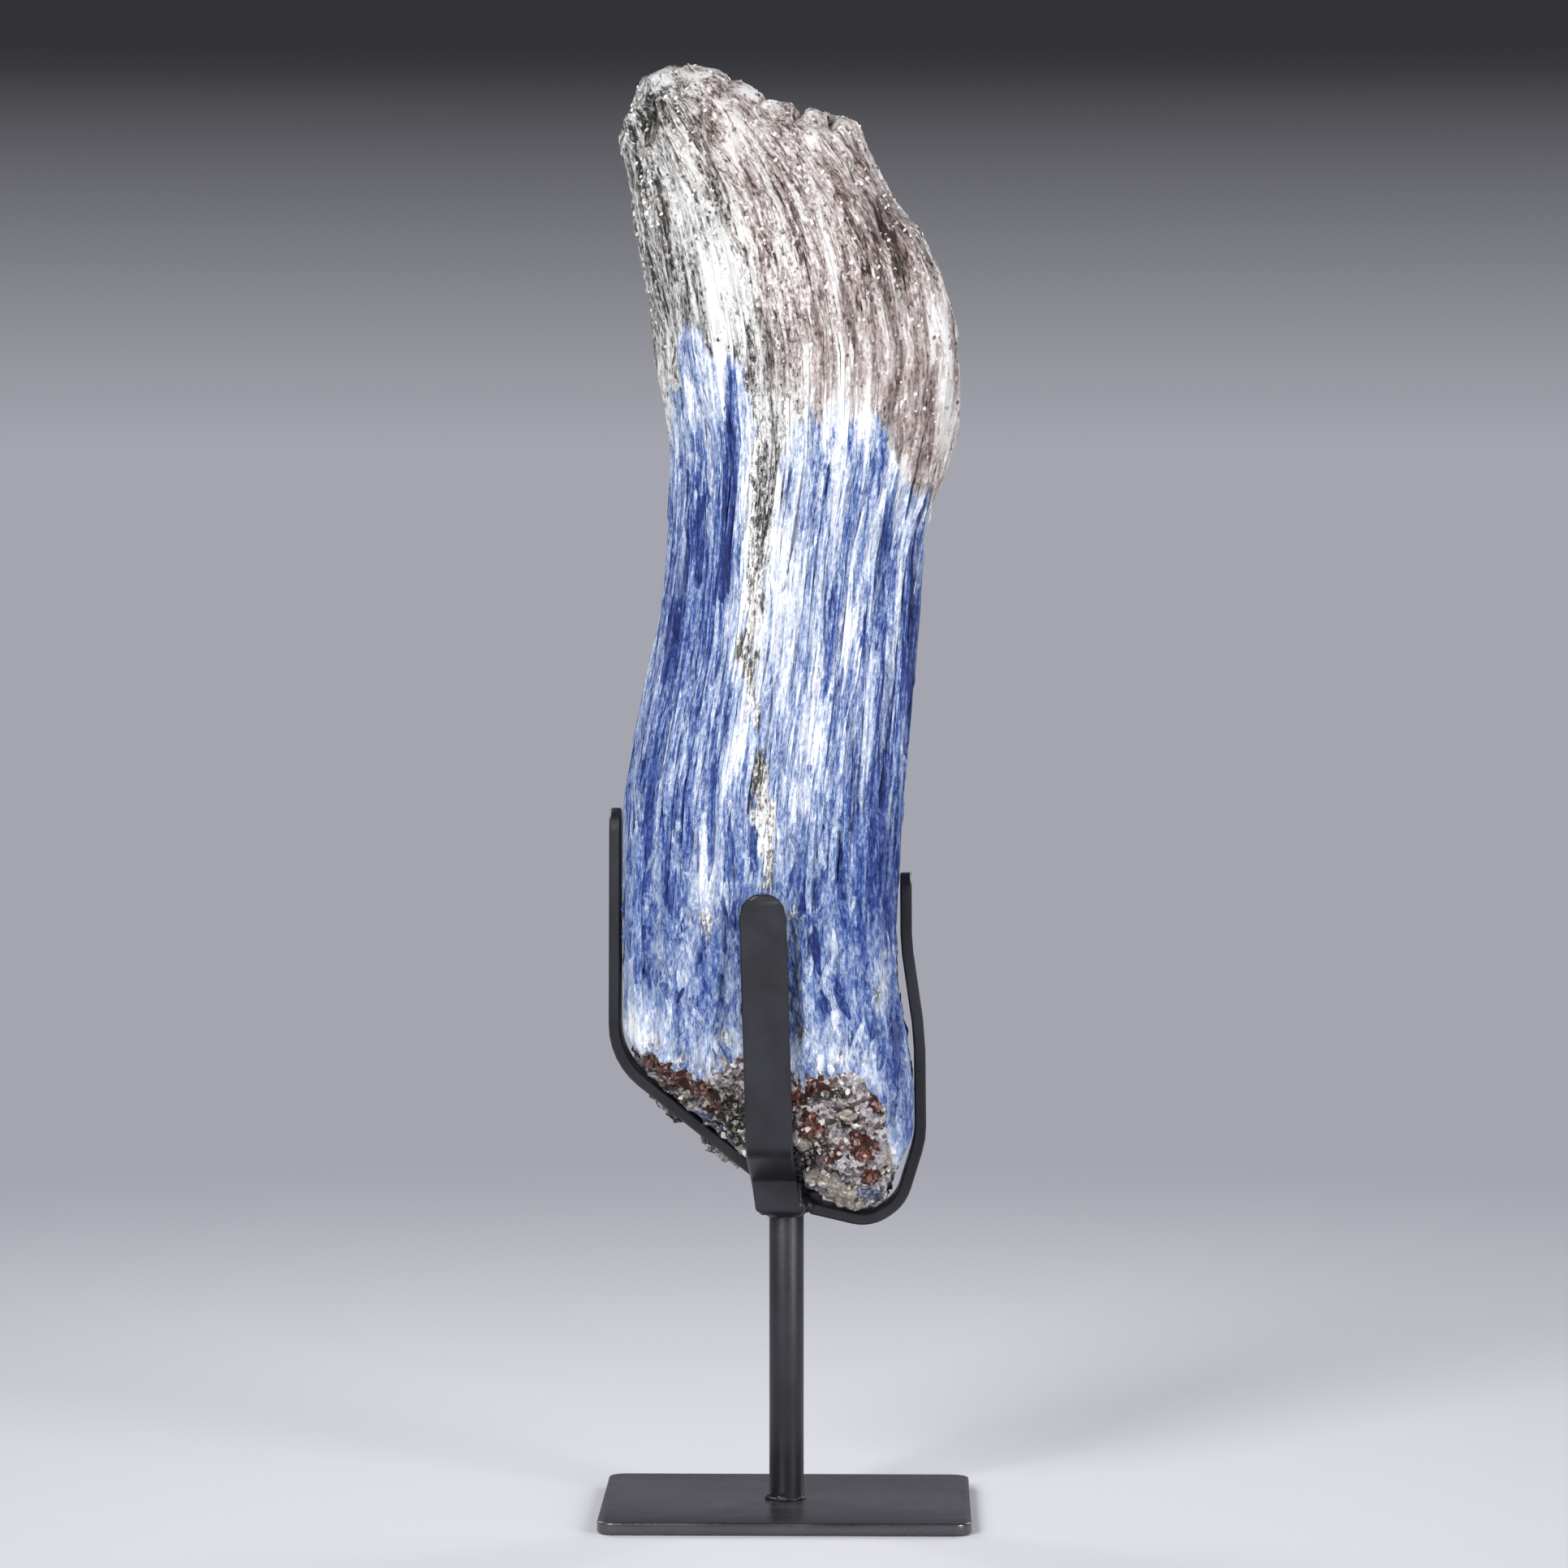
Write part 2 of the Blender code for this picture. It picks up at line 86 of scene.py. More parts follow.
# Lower edge of the mica schist, and upper edge of the garnet-bearing foot: x and height
SCHIST_EDGE = np.array((
    (-46, 297), (-31, 297), (-29.4, 324), (-25, 326), (-21, 320), (-12, 319), (-9, 308), (-3, 304),
    (4, 306), (9, 303), (16, 303), (24, 300), (28, 294), (32, 286), (36, 279), (48, 276)))
FOOT_EDGE = np.array((
    (-46, 127), (-38, 129), (-31, 125.5), (-23, 122.5), (-17, 126), (-12, 128), (0, 123), (11, 122.5),
    (17, 123.5), (25, 119.5), (27.5, 113), (29, 101), (31, 90), (46, 80)))

# Pale (positive) and dark (negative) areas: x, z, half width, half height, strength
# The dark patches at (-37, 383), (-20.4, 379), (-2, 372), (27.2, 356) and (18, 322) lie on crevices and paint
# shade into those hollows.
TONE_PATCHES = np.array((
    (-14, 290, 2.6, 22, -1.35), (-15.8, 266, 3.4, 18, -1.25), (-24, 277, 3, 10, -1.1),
    (-30, 245, 3.6, 11, -0.6), (-24.5, 262, 4, 10, -0.6), (-12.7, 314, 2.4, 6, -0.5),
    (-15.4, 228, 1.5, 8, -0.9), (-18.4, 206, 1.5, 6, -0.9), (12.7, 249, 1.2, 12, -0.7),
    (33.8, 240, 2.3, 30, -1.05), (34.2, 279, 1.6, 6, -0.8), (25, 186, 7, 24, -0.35),
    (8.1, 296, 2.2, 10, -0.45), (26.3, 293, 1.8, 7, -0.6), (27, 262, 1.6, 22, -0.5),
    (22, 268, 1.2, 18, -0.35), (29.6, 131, 2.6, 14, -0.5), (-30, 171, 1.7, 11, -0.45),
    (-36.4, 162, 2.5, 5, -0.3), (-24, 224, 5, 12, -0.25), (6, 172, 1.6, 9, -0.5), (-37, 205, 2, 14, -0.3),
    (2, 150, 1.6, 5, -0.4), (5.6, 137, 2.5, 4, -0.4), (-22.4, 303, 3.4, 12, 1.1),
    (-28.4, 290, 1.8, 22, 0.45), (-10.5, 286, 1.8, 14, 1), (0.5, 262, 4.4, 17, 1.1),
    (18.7, 247, 2, 14, 1.2), (14, 276, 2.6, 14, 0.8), (13.2, 297, 3.2, 9, 1), (20.8, 293, 1.5, 13, 0.8),
    (31, 285, 2, 9, 0.9), (24.5, 276, 1.3, 14, 0.7), (30.5, 262, 1.1, 16, 0.6), (-11, 224, 2, 8, 1),
    (-13.5, 213, 2, 7, 1), (-16.5, 204, 2.4, 6, 1), (5, 217, 6, 10, 0.8), (3.5, 200, 3.6, 5, 1),
    (-21.7, 179, 5, 13, 0.95), (-10, 180, 2, 5, 0.9), (-3.6, 187, 2.5, 6, 0.8), (-41, 137, 3.5, 8, 0.9),
    (-30, 138, 10, 9, 0.3), (26.5, 147, 2.6, 7, 0.6), (-2, 236, 2, 12, 0.5), (9, 234, 2, 16, 0.5),
    (12, 135, 6, 6, 0.35), (-40, 190, 1.5, 8, 0.4), (28.5, 100, 2.6, 4, 0.9), (-17.5, 334, 5, 17, 2),
    (-27, 371, 6, 11, 0.9), (-13.5, 381, 2.5, 8, 1.1), (6.5, 377, 2, 9, 1.1), (12.5, 345, 3, 16, 0.6),
    (5.8, 312, 2, 8, 1), (-6.6, 318, 1.3, 8, 1.1), (22.4, 312, 1.2, 15, 1), (44.6, 315, 2, 22, 1.7),
    (-33, 394, 3, 3, 0.8), (-24, 394, 4, 3, 0.8), (-10, 391, 2.5, 3, 0.9), (16, 381, 3, 3, 0.7),
    (-1, 352, 1.4, 16, 0.5), (33, 318, 1.2, 16, 0.5), (27.2, 356, 7, 10, -0.75), (37, 343, 4, 10, -0.35),
    (-37, 383, 3, 6, -0.7), (-41, 365, 2.5, 9, -0.45), (-20.4, 379, 1.4, 6, -1),
    (-19.5, 367, 1.6, 4, -0.9), (-2, 372, 2, 9, -0.45), (15, 362, 2, 9, -0.3), (2, 330, 2, 10, -0.35),
    (18, 322, 1.2, 8, -0.6), (38, 305, 3, 12, -0.25), (3, 250, 9, 42, 0.28), (-25, 256, 7, 36, -0.45),
    (-32, 201, 8, 18, -0.38), (26, 186, 9, 24, -0.34), (41.5, 322, 2, 14, 0.9), (42.8, 299, 1.8, 11, 1.2),
    (24, 345, 4, 14, -0.3), (-38, 376, 4, 14, -0.55), (8, 330, 10, 26, 0.06), (-30, 155, 8, 12, 0.22),
    (13, 150, 9, 12, 0.10)))

# Angled blue blades in the lower half: x, z, length, width, lean in degrees, shift in tone
ANGLED_BLADES = (
    (8.1, 158.5, 20, 2.4, -9, -0.29), (7, 163, 12, 1.3, -12, -0.25), (4.5, 148, 7, 1.6, 24, -0.26),
    (11.6, 143, 9, 1.5, -17, -0.29), (15.4, 143, 10, 1.7, -25, -0.29), (21.2, 152, 18, 2.5, -1, -0.20),
    (29.6, 131, 24, 2.8, -3, -0.17), (-22.6, 156, 7, 1.1, 20, -0.33), (-28.3, 145, 6, 1, 24, -0.33),
    (-30.5, 172, 18, 1.6, 3, -0.15), (24, 136, 12, 1.6, 6, -0.17), (-14, 166, 13, 1.4, 5, -0.16),
    (16, 170, 16, 2, -4, -0.13), (-28, 190, 14, 1.5, 3, -0.18))

# Silver mica vein: height, x and half width
VEIN = np.array((
    (172, -6, 0), (184, -4, 1.8), (194, -6.3, 3.2), (203, -5.8, 3.2), (214, -7, 0.8), (228, -9.5, 1.6),
    (237, -10.3, 2.4), (252, -8.8, 3.3), (268, -7.2, 3.6), (284, -5.5, 4.6), (296, -3, 6.4),
    (308, -1, 8), (325, 0, 8)))

# Where garnets, blue chips, black and silver mica and quartz crowd together, in and above the foot: x, z
# and both radii
GARNET_CLUSTERS = np.array((
    (-35, 126, 5, 3), (-29, 122, 4, 3), (-23.5, 119, 4, 2.8), (-19, 115, 3, 2.4), (3, 117, 3, 3),
    (8, 120.5, 4, 1.8), (7, 109, 3.2, 5.5), (25, 116, 2.4, 3.6), (21.5, 103, 4.2, 4.6), (23.5, 95, 3, 3),
    (13, 101, 2, 2), (-23.5, 102.5, 3, 2.2)))
BLUE_CHIPS = np.array(((22.8, 89.8, 4.6, 2.6), (-23.6, 111, 3.6, 1.9), (-19.5, 107.2, 2.6, 1.4)))
# The black cluster at (-30, 107.5) lies under the left arm: partly black mica, partly painted shade of the
# arm.
BLACK_CLUSTERS = np.array((
    (-17, 112, 6.5, 7.5), (4.5, 100, 4.4, 3.8), (9, 104, 3, 3), (17, 112, 3.6, 3.4), (12, 96, 3, 2),
    (1, 112, 2, 6), (11, 118.5, 7, 1.8), (-30, 117, 6, 3), (-4, 100, 4, 6), (-30, 107.5, 4, 3),
    (-10, 106, 5, 5)))
SILVER_PATCHES = np.array((
    (-21, 166, 4.2, 8), (3, 168, 3, 5.5), (2.4, 151, 1.8, 2.6), (5, 136.5, 4.6, 4.5),
    (16, 128, 6, 3), (-37, 132, 5, 4.5), (-28, 127.5, 6, 4.5), (-20, 126, 4, 3.5), (-16, 133, 5, 4),
    (26, 146, 3, 6)))
QUARTZ_CLUSTERS = np.array((
    (9.8, 94.2, 5, 2.6), (16.5, 89.5, 7.5, 3.4), (28.5, 100, 2.4, 3.5), (4.8, 104, 2.6, 2.2),
    (-12, 101, 3, 2), (17, 112.5, 2, 2), (-27, 117, 2, 1.2), (-15.5, 97, 3, 2.2)))

# Hollows in the front of the stone, and right through it above CROWN: x and z, reach both ways, depth
CREVICES = (
    ((-37, 384), (2.4, 5), 4.4), ((-28.5, 393), (1, 4.5), 3.4), ((20.6, 331.2), (1.9, 1.5), 3.6),
    ((18.8, 322), (1, 7), 1.8), ((-22.5, 383), (1.3, 4), 2.2), ((-19.3, 377), (1.3, 4.5), 2.6),
    ((-20.6, 361), (3.5, 0.9), 1.6), ((-14.6, 395), (1.3, 6), 4), ((-9.5, 366), (1.2, 8), 1.6),
    ((3.6, 388), (1.4, 5), 3.6), ((-4.6, 389), (1, 4), 2.6), ((0.5, 372), (1.4, 9), 1.8),
    ((-33, 352), (1.2, 9), 1.5), ((33, 336), (1.2, 10), 1.4), ((27, 352), (1.6, 8), 1.8),
    ((13, 384), (1, 5), 2.4), ((20, 369), (1.2, 5), 1.6), ((-14, 120), (3, 3), 1.6),
    ((12, 113), (4, 3.5), 1.8), ((16, 107), (2.5, 2.5), 2), ((-30, 305), (1.2, 5), 1.6),
    ((4.2, 388), (1.2, 3.5), 2.6), ((-17, 354.5), (5, 0.8), 1.4), ((24.5, 331.4), (3.4, 0.7), 1.6))
CROWN = 386

# The front prong's sloping foot: its middle in x, half its width, where it ends in y, and a point and the
# fall of the line that the stone keeps above
PRONG_MIDDLE, PRONG_HALF, PRONG_END = -2, 7.4, -3
PRONG_FRONT, PRONG_TOP, PRONG_FALL = -31.6, 106.5, 0.459

# Sides of the stone: 0 front, 1 right, 2 back, 3 left. Blades and grains are spread over them in these
# proportions, and between these heights.
SIDES = (0, 1, 2, 3)
BLADE_SIDES, GRAIN_SIDES = (46, 12, 30, 12), (48, 12, 28, 12)
BLADE_HEIGHTS, FOOT_HEIGHTS, FLAKE_HEIGHTS = (96, 392), (84, 134), (180, 397)
RAY_START = 90

# Room that the stone's bulges, blades and grains leave before a bar, and the steepest flank for a blade
STONE_ROOM, BLADE_ROOM, GRAIN_ROOM = 0.4, 1.1, 1.6
STEEPEST = 0.4

# A blade's cross-section: how deep its sides reach, the height of its sunk ends and how narrow they are
BLADE_ROOT, BLADE_END, BLADE_TAPER = -1.6, -0.35, 0.55
BLADE_CORNERS = 5

# The stand, in metres
POST_RADIUS = 0.00476
PLATE_CORNER, PLATE_EDGE = 0.0048, 0.00045
BAR_EDGE, POST_EDGE, POST_RIM = 0.0005, 0.0004, 0.0006
WELD_VOXEL = 0.00035
SMOOTH_ANGLE = math.radians(35)

# The studio, in metres and degrees. The camera was fitted to the photograph.
FLOOR_RADIUS, FLOOR_LEVEL = 12.0, -0.0003
LAMP_AIM = (0, 0, 0.22)
BACK_LAMP_AIM = (0, 0, 0.25)
BACK_LAMP_SHARE = 0.6
SENSOR, LENS = 36.0, 129.4
CAMERA_X, CAMERA_TURN, CAMERA_DIP = -0.0007, 1.085, 3.18

BLACK = (0.0, 0.0, 0.0, 1.0)


def column(table, at, index=1):
    """A column of a table, interpolated where its first column reaches the given value."""
    return float(np.interp(at, table[:, 0], table[:, index]))


def crowd(clusters, x, z):
    """How deep inside the nearest cluster a spot lies, from 0 to 1."""
    away = ((x - clusters[:, 0]) / clusters[:, 2]) ** 2 + ((z - clusters[:, 1]) / clusters[:, 3]) ** 2
    return float(np.exp(-0.9 * away).max())


def ease(low, high, value):
    """0 at low, 1 at high and smooth in between. High may be the lower of the two."""
    share = min(1.0, max(0.0, (value - low) / (high - low)))
    return share * share * (3 - 2 * share)


def wobble(x, y, z, seed=0.0):
    """Smooth noise between -1 and 1, different for each seed."""
    return noise.noise(Vector((x + seed, y - seed, z + 2 * seed)))


def grain_at(x, y, z):
    """Coordinates that run with the blades, so that a pattern stretched along the third follows them."""
    return ((x - column(GRAIN, z)) * GRAIN_HALF / column(GRAIN, z, 2), y, z)


class Look:
    """What one spot of the stone is made of.

    Each value runs from 0 to 1, apart from tone, which is below 0 where the stone is dark and above 0 where
    it is pale, and proud, which is below 0 where the surface lies back under the edge of the schist.
    """

    FIELDS = ("tone", "schist", "foot", "silver", "brown", "short", "garnet", "quartz", "black")

    def __init__(self, x, y, z):
        crumbly = 4 * wobble(x / 3, y / 3, z / 3, 3)
        behind = ease(6, 24, y)
        self.foot = ease(2.4, -2.0, z - column(FOOT_EDGE, x) - 5 * behind + crumbly)
        chip = ease(0.35, 0.6, crowd(BLUE_CHIPS, x, z) + 0.3 * wobble(x / 2, y / 2, z / 2, 19))
        self.foot *= 1 - 0.58 * chip
        pale_rim = 0.5 * math.exp(-((z - column(FOOT_EDGE, x) - 5) / 6.0) ** 2)
        mica = crowd(SILVER_PATCHES, x, z) + 0.45 * wobble(x / 1.6, y / 1.6, z / 2.2, 23)
        self.garnet = crowd(GARNET_CLUSTERS, x, z)
        self.quartz = crowd(QUARTZ_CLUSTERS, x, z)
        self.black = crowd(BLACK_CLUSTERS, x, z)
        round_back = ease(1, 26, y)
        x, z = x * (1 - 1.92 * round_back), z + 6 * round_back * math.sin(x / 9)
        ragged = 3.6 * wobble(x / 1.7, y / 6, z / 24) + 3.4 * wobble(x / 6, y / 6, z / 20, 7)
        over = z - column(SCHIST_EDGE, x) + ragged
        self.schist = ease(-4.0, 4.0, over)
        lean = (x - column(VEIN, z)) / max(0.01, column(VEIN, z, 2))
        self.silver = ease(1.3, 0.5, abs(lean + 0.6 * wobble(x / 2.4, y / 5, z / 7, 11)))
        self.silver = max(self.silver, 0.6 * ease(0.35, 0.9, mica), 0.54 * chip)
        self.brown = ease(-16, 2, x + (z - 330) * 0.30 + 9 * wobble(x / 7, y / 9, z / 26, 5)) * self.schist
        self.short = ease(215, 160, z + 12 * wobble(x / 9, y / 9, z / 20, 17))
        away = ((x - TONE_PATCHES[:, 0]) / TONE_PATCHES[:, 2]) ** 2
        away += ((z - TONE_PATCHES[:, 1]) / TONE_PATCHES[:, 3]) ** 2
        self.tone = float((TONE_PATCHES[:, 4] * np.exp(-1.1 * away ** 1.4)).sum())
        self.tone += 0.7 * math.exp(-((over - 1.0) / 7.0) ** 2) + pale_rim - 0.55 * chip
        self.tone += 0.45 * math.exp(-(lean / 2.4) ** 2) * ease(205, 230, z)
        lip = 0.9 * math.exp(-((over + 6) / 14.0) ** 2) * ease(24, 30, abs(x))
        self.proud = self.schist - lip * (1 - self.schist)


def deselect():
    bpy.ops.object.select_all(action="DESELECT")


def select_only(obj):
    deselect()
    obj.select_set(True)
    bpy.context.view_layer.objects.active = obj


def edit_all(obj):
    select_only(obj)
    bpy.ops.object.mode_set(mode="EDIT")
    bpy.ops.mesh.select_all(action="SELECT")


def leave_edit():
    bpy.ops.object.mode_set(mode="OBJECT")


def clear_edit_selection():
    """Selects no face or edge of the active mesh, so that code can then select some."""
    bpy.ops.object.mode_set(mode="EDIT")
    bpy.ops.mesh.select_all(action="DESELECT")
    leave_edit()


def apply_modifiers(obj):
    """Applies all of the object's modifiers and leaves it selected."""
    select_only(obj)
    for modifier in list(obj.modifiers):
        bpy.ops.object.modifier_apply(modifier=modifier.name)


def settle(obj):
    """Puts the object's place into its mesh."""
    select_only(obj)
    bpy.ops.object.transform_apply(location=True, rotation=True, scale=True)


def finish_piece(obj, material, slot, *nodes):
    """Gives a piece its material, the CAD nodes that it replaces and the body that it rides on. The slot is
    not used.
    """
    obj.data.materials.clear()
    obj.data.materials.append(material)
    if nodes:
        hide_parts(*nodes)
    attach(obj, "root")


def merged_copy(node, name):
    """A copy of a CAD node's mesh with its loose triangles joined into faces."""
    copy = bpy.data.objects.new(name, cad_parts[node].data.copy())
    bpy.context.scene.collection.objects.link(copy)
    copy.data.materials.clear()
    select_only(copy)
    bpy.ops.mesh.customdata_custom_splitnormals_clear()
    edit_all(copy)
    bpy.ops.mesh.remove_doubles(threshold=0.000002)
    bpy.ops.mesh.tris_convert_to_quads()
    leave_edit()
    return copy


def ease_edges(obj, width, segments, angle):
    """Bevels the edges that turn by more than an angle in degrees, and smooths the faces between them."""
    bevel = obj.modifiers.new("eased_edges", "BEVEL")
    bevel.width = width
    bevel.segments = segments
    bevel.limit_method = "ANGLE"
    bevel.angle_limit = math.radians(angle)
    apply_modifiers(obj)
    bpy.ops.object.shade_smooth_by_angle(angle=SMOOTH_ANGLE)


def keep_in_box(points, above, below):
    """Holds points inside the CAD box, with a margin at its low and at its high sides."""
    low, high = (np.array(corner) / MM for corner in CAD_BOX)
    return np.clip(points, low + above, high - below)


def mesh_points(mesh):
    """The places of a mesh's points, in mm."""
    points = np.empty(len(mesh.vertices) * 3)
    mesh.vertices.foreach_get("co", points)
    return points.reshape(-1, 3) / MM


def write_points(mesh, points):
    mesh.vertices.foreach_set("co", (np.asarray(points) * MM).ravel())
    mesh.update()


def write_looks(mesh, points, looks):
    """Stores the grain coordinates and every field of the looks on the mesh's points."""
    grain = mesh.attributes.new("grain", "FLOAT_VECTOR", "POINT")
    grain.data.foreach_set("vector", np.array([grain_at(*p) for p in points]).ravel())
    for field in Look.FIELDS:
        layer = mesh.attributes.new(field, "FLOAT", "POINT")
        layer.data.foreach_set("value", np.array([getattr(look, field) for look in looks]))


class Value:
    """An output socket of a node. Arithmetic on it adds Math nodes."""

    def __init__(self, paint, socket):
        self.paint = paint
        self.socket = socket

    def math(self, operation, other, clamp=False):
        settings = {"operation": operation, "use_clamp": clamp}
        return self.paint.node("ShaderNodeMath", settings, {0: self, 1: other})

    def flipped(self, operation, other):
        return self.paint.node("ShaderNodeMath", {"operation": operation}, {0: other, 1: self})

    def __add__(self, other):
        return self.math("ADD", other)

    __radd__ = __add__

    def __sub__(self, other):
        return self.math("SUBTRACT", other)

    def __rsub__(self, other):
        return self.flipped("SUBTRACT", other)

    def __mul__(self, other):
        return self.math("MULTIPLY", other)

    __rmul__ = __mul__

    def clamp(self):
        return self.math("ADD", 0.0, clamp=True)

    def between(self, low, high):
        """0 below low, 1 above high and smooth in between. High may be the lower of the two."""
        ends = {1: low, 2: high} if low < high else {1: high, 2: low}
        eased = self.paint.node("ShaderNodeMapRange", {"interpolation_type": "SMOOTHSTEP"}, {0: self, **ends})
        return eased if low < high else 1 - eased


class Paint:
    """The nodes of a material or a world under construction."""

    def __init__(self, owner, shader="Principled BSDF"):
        owner.use_nodes = True
        self.owner = owner
        self.tree = owner.node_tree
        self.shader = self.tree.nodes[shader]

    @classmethod
    def material(cls, name):
        return cls(bpy.data.materials.new(name))

    def node(self, kind, settings=None, sockets=None, output=0):
        """Adds a node, with its settings set first, then its sockets, and gives one of its outputs."""
        made = self.tree.nodes.new(kind)
        for key, value in (settings or {}).items():
            if key == "stops":
                self.set_stops(made.color_ramp.elements, value)
            else:
                setattr(made, key, value)
        for key, value in (sockets or {}).items():
            self.feed(made.inputs[key], value)
        return Value(self, made.outputs[output])

    def feed(self, socket, value):
        if isinstance(value, Value):
            self.tree.links.new(value.socket, socket)
        else:
            socket.default_value = value

    @staticmethod
    def set_stops(elements, stops):
        while len(elements) < len(stops):
            elements.new(0.5)
        for element, (position, colour) in zip(elements, stops):
            element.position = position
            element.color = tuple(colour) + (1.0,)

    def set(self, **sockets):
        """Feeds the shader's sockets, named with _ for each space."""
        for key, value in sockets.items():
            self.feed(self.shader.inputs[key.replace("_", " ")], value)

    def attribute(self, name, output="Fac"):
        return self.node("ShaderNodeAttribute", {"attribute_name": name}, output=output)

    def place(self):
        return self.node("ShaderNodeTexCoord", output="Object")

    def stretch(self, vector, scale, tilt=0.0):
        """Scales a pattern's space, after turning it by the tilt about the axis that runs front to back."""
        if tilt:
            turn = (0, math.radians(tilt), 0)
            vector = self.node("ShaderNodeMapping", None, {"Vector": vector, "Rotation": turn})
        return self.node("ShaderNodeMapping", None, {"Vector": vector, "Scale": scale})

    def noise(self, vector, scale=1.0, detail=3.0, roughness=0.55, distortion=0.0):
        return self.node("ShaderNodeTexNoise", None, {
            "Vector": vector, "Scale": scale, "Detail": detail, "Roughness": roughness,
            "Distortion": distortion})

    def cells(self, vector, scale=1.0):
        """A random number for each cell of a broken-up space."""
        colour = self.node("ShaderNodeTexVoronoi", None, {"Vector": vector, "Scale": scale}, "Color")
        return self.node("ShaderNodeSeparateColor", None, {"Color": colour})

    def ramp(self, factor, stops):
        return self.node("ShaderNodeValToRGB", {"stops": stops}, {"Fac": factor})

    def mix(self, factor, first, second):
        """One colour over another."""
        return self.node("ShaderNodeMix", {"data_type": "RGBA"}, {0: factor, 6: first, 7: second}, 2)

    def bump(self, height, strength, distance):
        return self.node("ShaderNodeBump", None, {
            "Height": height, "Strength": strength, "Distance": distance})


def stone_material(name, look):
    """Streaked kyanite that passes into mica schist above and into garnet and black mica below."""
    paint = Paint.material(name)
    grain = paint.attribute("grain", "Vector")
    tone, schist, foot, silver, brown, short, garnet, quartz, black = (
        paint.attribute(field) for field in Look.FIELDS)
    shift = paint.attribute("shift")

    def drawn(scale, detail, roughness, distortion=0.0):
        """Noise drawn out along the grain."""
        return paint.noise(paint.stretch(grain, scale), 1.0, detail, roughness, distortion)

    def split(scale, tilt=0.0):
        """Random numbers in splinters along the grain, or at an angle to it."""
        return paint.cells(paint.stretch(grain, scale, tilt))

    # Patterns that more than one of the three kinds of stone use
    broad = drawn((0.34, 0.34, 0.030), 4, 0.6)
    streak = drawn((1.0, 1.0, 0.065), 5, 0.68, 0.25)
    fibre = drawn((4.2, 4.2, 0.24), 3, 0.7)
    fleck = drawn((1.3, 1.3, 0.60), 6, 0.8)
    line = drawn((2.3, 2.3, 0.040), 2, 0.6)
    blade = split((0.85, 0.7, 0.034))
    dash = split((1.9, 1.5, 0.19), 1.5)
    slant_right = split((1.15, 0.8, 0.24), 17)
    slant_left = split((1.25, 0.8, 0.26), -22)
    lines = line.between(0.66, 0.72) * 0.22 - line.between(0.37, 0.30) * 0.34

    # Blue kyanite: long blades, and short crossing ones in the lower half
    long_level = ((streak - 0.5) * 0.8 + (fibre - 0.5) * 0.75 + (fleck - 0.5) * 1.45 + (blade - 0.5) * 0.26
                  + (dash - 0.5) * 0.26 + lines * 0.7)
    short_level = ((slant_right + slant_left - 1.0) * 0.17 + (fibre - 0.5) * 0.7 + (fleck - 0.5) * 1.1
                   + (streak - 0.5) * 0.5 - 0.09)
    level = (look.paleness + tone * 0.36 + shift + (broad - 0.5) * 0.75 + long_level
             + (short_level - long_level) * short)
    blue = paint.ramp(level, (
        (0.02, (0.002, 0.009, 0.085)), (0.17, look.deep_blue), (0.31, (0.046, 0.102, 0.335)),
        (0.43, look.middle_blue), (0.56, look.pale_blue), (0.70, (0.50, 0.57, 0.73)),
        (0.82, (0.73, 0.78, 0.87)), (0.95, (0.92, 0.93, 0.94))))

    # Mica schist: silver on the left and brown on the right
    fold = drawn((0.40, 0.40, 0.042), 6, 0.70, 0.5)
    thread = drawn((2.4, 2.4, 0.34), 5, 0.78)
    speck_and_glint_cells = split((1.7, 1.7, 0.85))
    ribbon = split((0.42, 0.4, 0.030), -3)
    # The brightest random cells paint white mica glints into the schist colour, and the darkest give dark
    # specks.
    detail = ((fold - 0.5) * 2.3 + (thread - 0.5) * 0.60 + (ribbon - 0.5) * 0.32 + (dash - 0.5) * 0.20
              + (fleck - 0.5) * (1.5 + silver * 1.2) + lines * 0.4
              + (speck_and_glint_cells.between(0.80, 0.98) - speck_and_glint_cells.between(0.22, 0.04)) * 0.22)
    height = paint.node("ShaderNodeSeparateXYZ", sockets={"Vector": grain}, output="Z")
    calm = height.between(345, 315) * brown
    rough_level = (look.paleness + tone * 0.36 + shift * 0.5 - silver * 0.10
                   + detail * (1.40 - brown * 0.30 - calm * 0.40)
                   + (brown - 0.6) * 0.05)
    silver_colour = paint.ramp(rough_level, (
        (0.04, (0.018, 0.018, 0.016)), (0.20, (0.110, 0.104, 0.095)), (0.37, (0.275, 0.262, 0.248)),
        (0.53, look.schist_silver), (0.68, (0.67, 0.655, 0.64)), (0.83, (0.85, 0.84, 0.825)),
        (0.96, (0.94, 0.94, 0.93))))
    brown_colour = paint.ramp(rough_level, (
        (0.04, (0.026, 0.017, 0.015)), (0.20, (0.095, 0.064, 0.057)), (0.37, (0.235, 0.175, 0.165)),
        (0.55, look.schist_brown), (0.70, (0.60, 0.52, 0.50)), (0.85, (0.80, 0.74, 0.72)),
        (0.97, (0.94, 0.92, 0.91))))
    rock = paint.mix(brown, silver_colour, brown_colour)

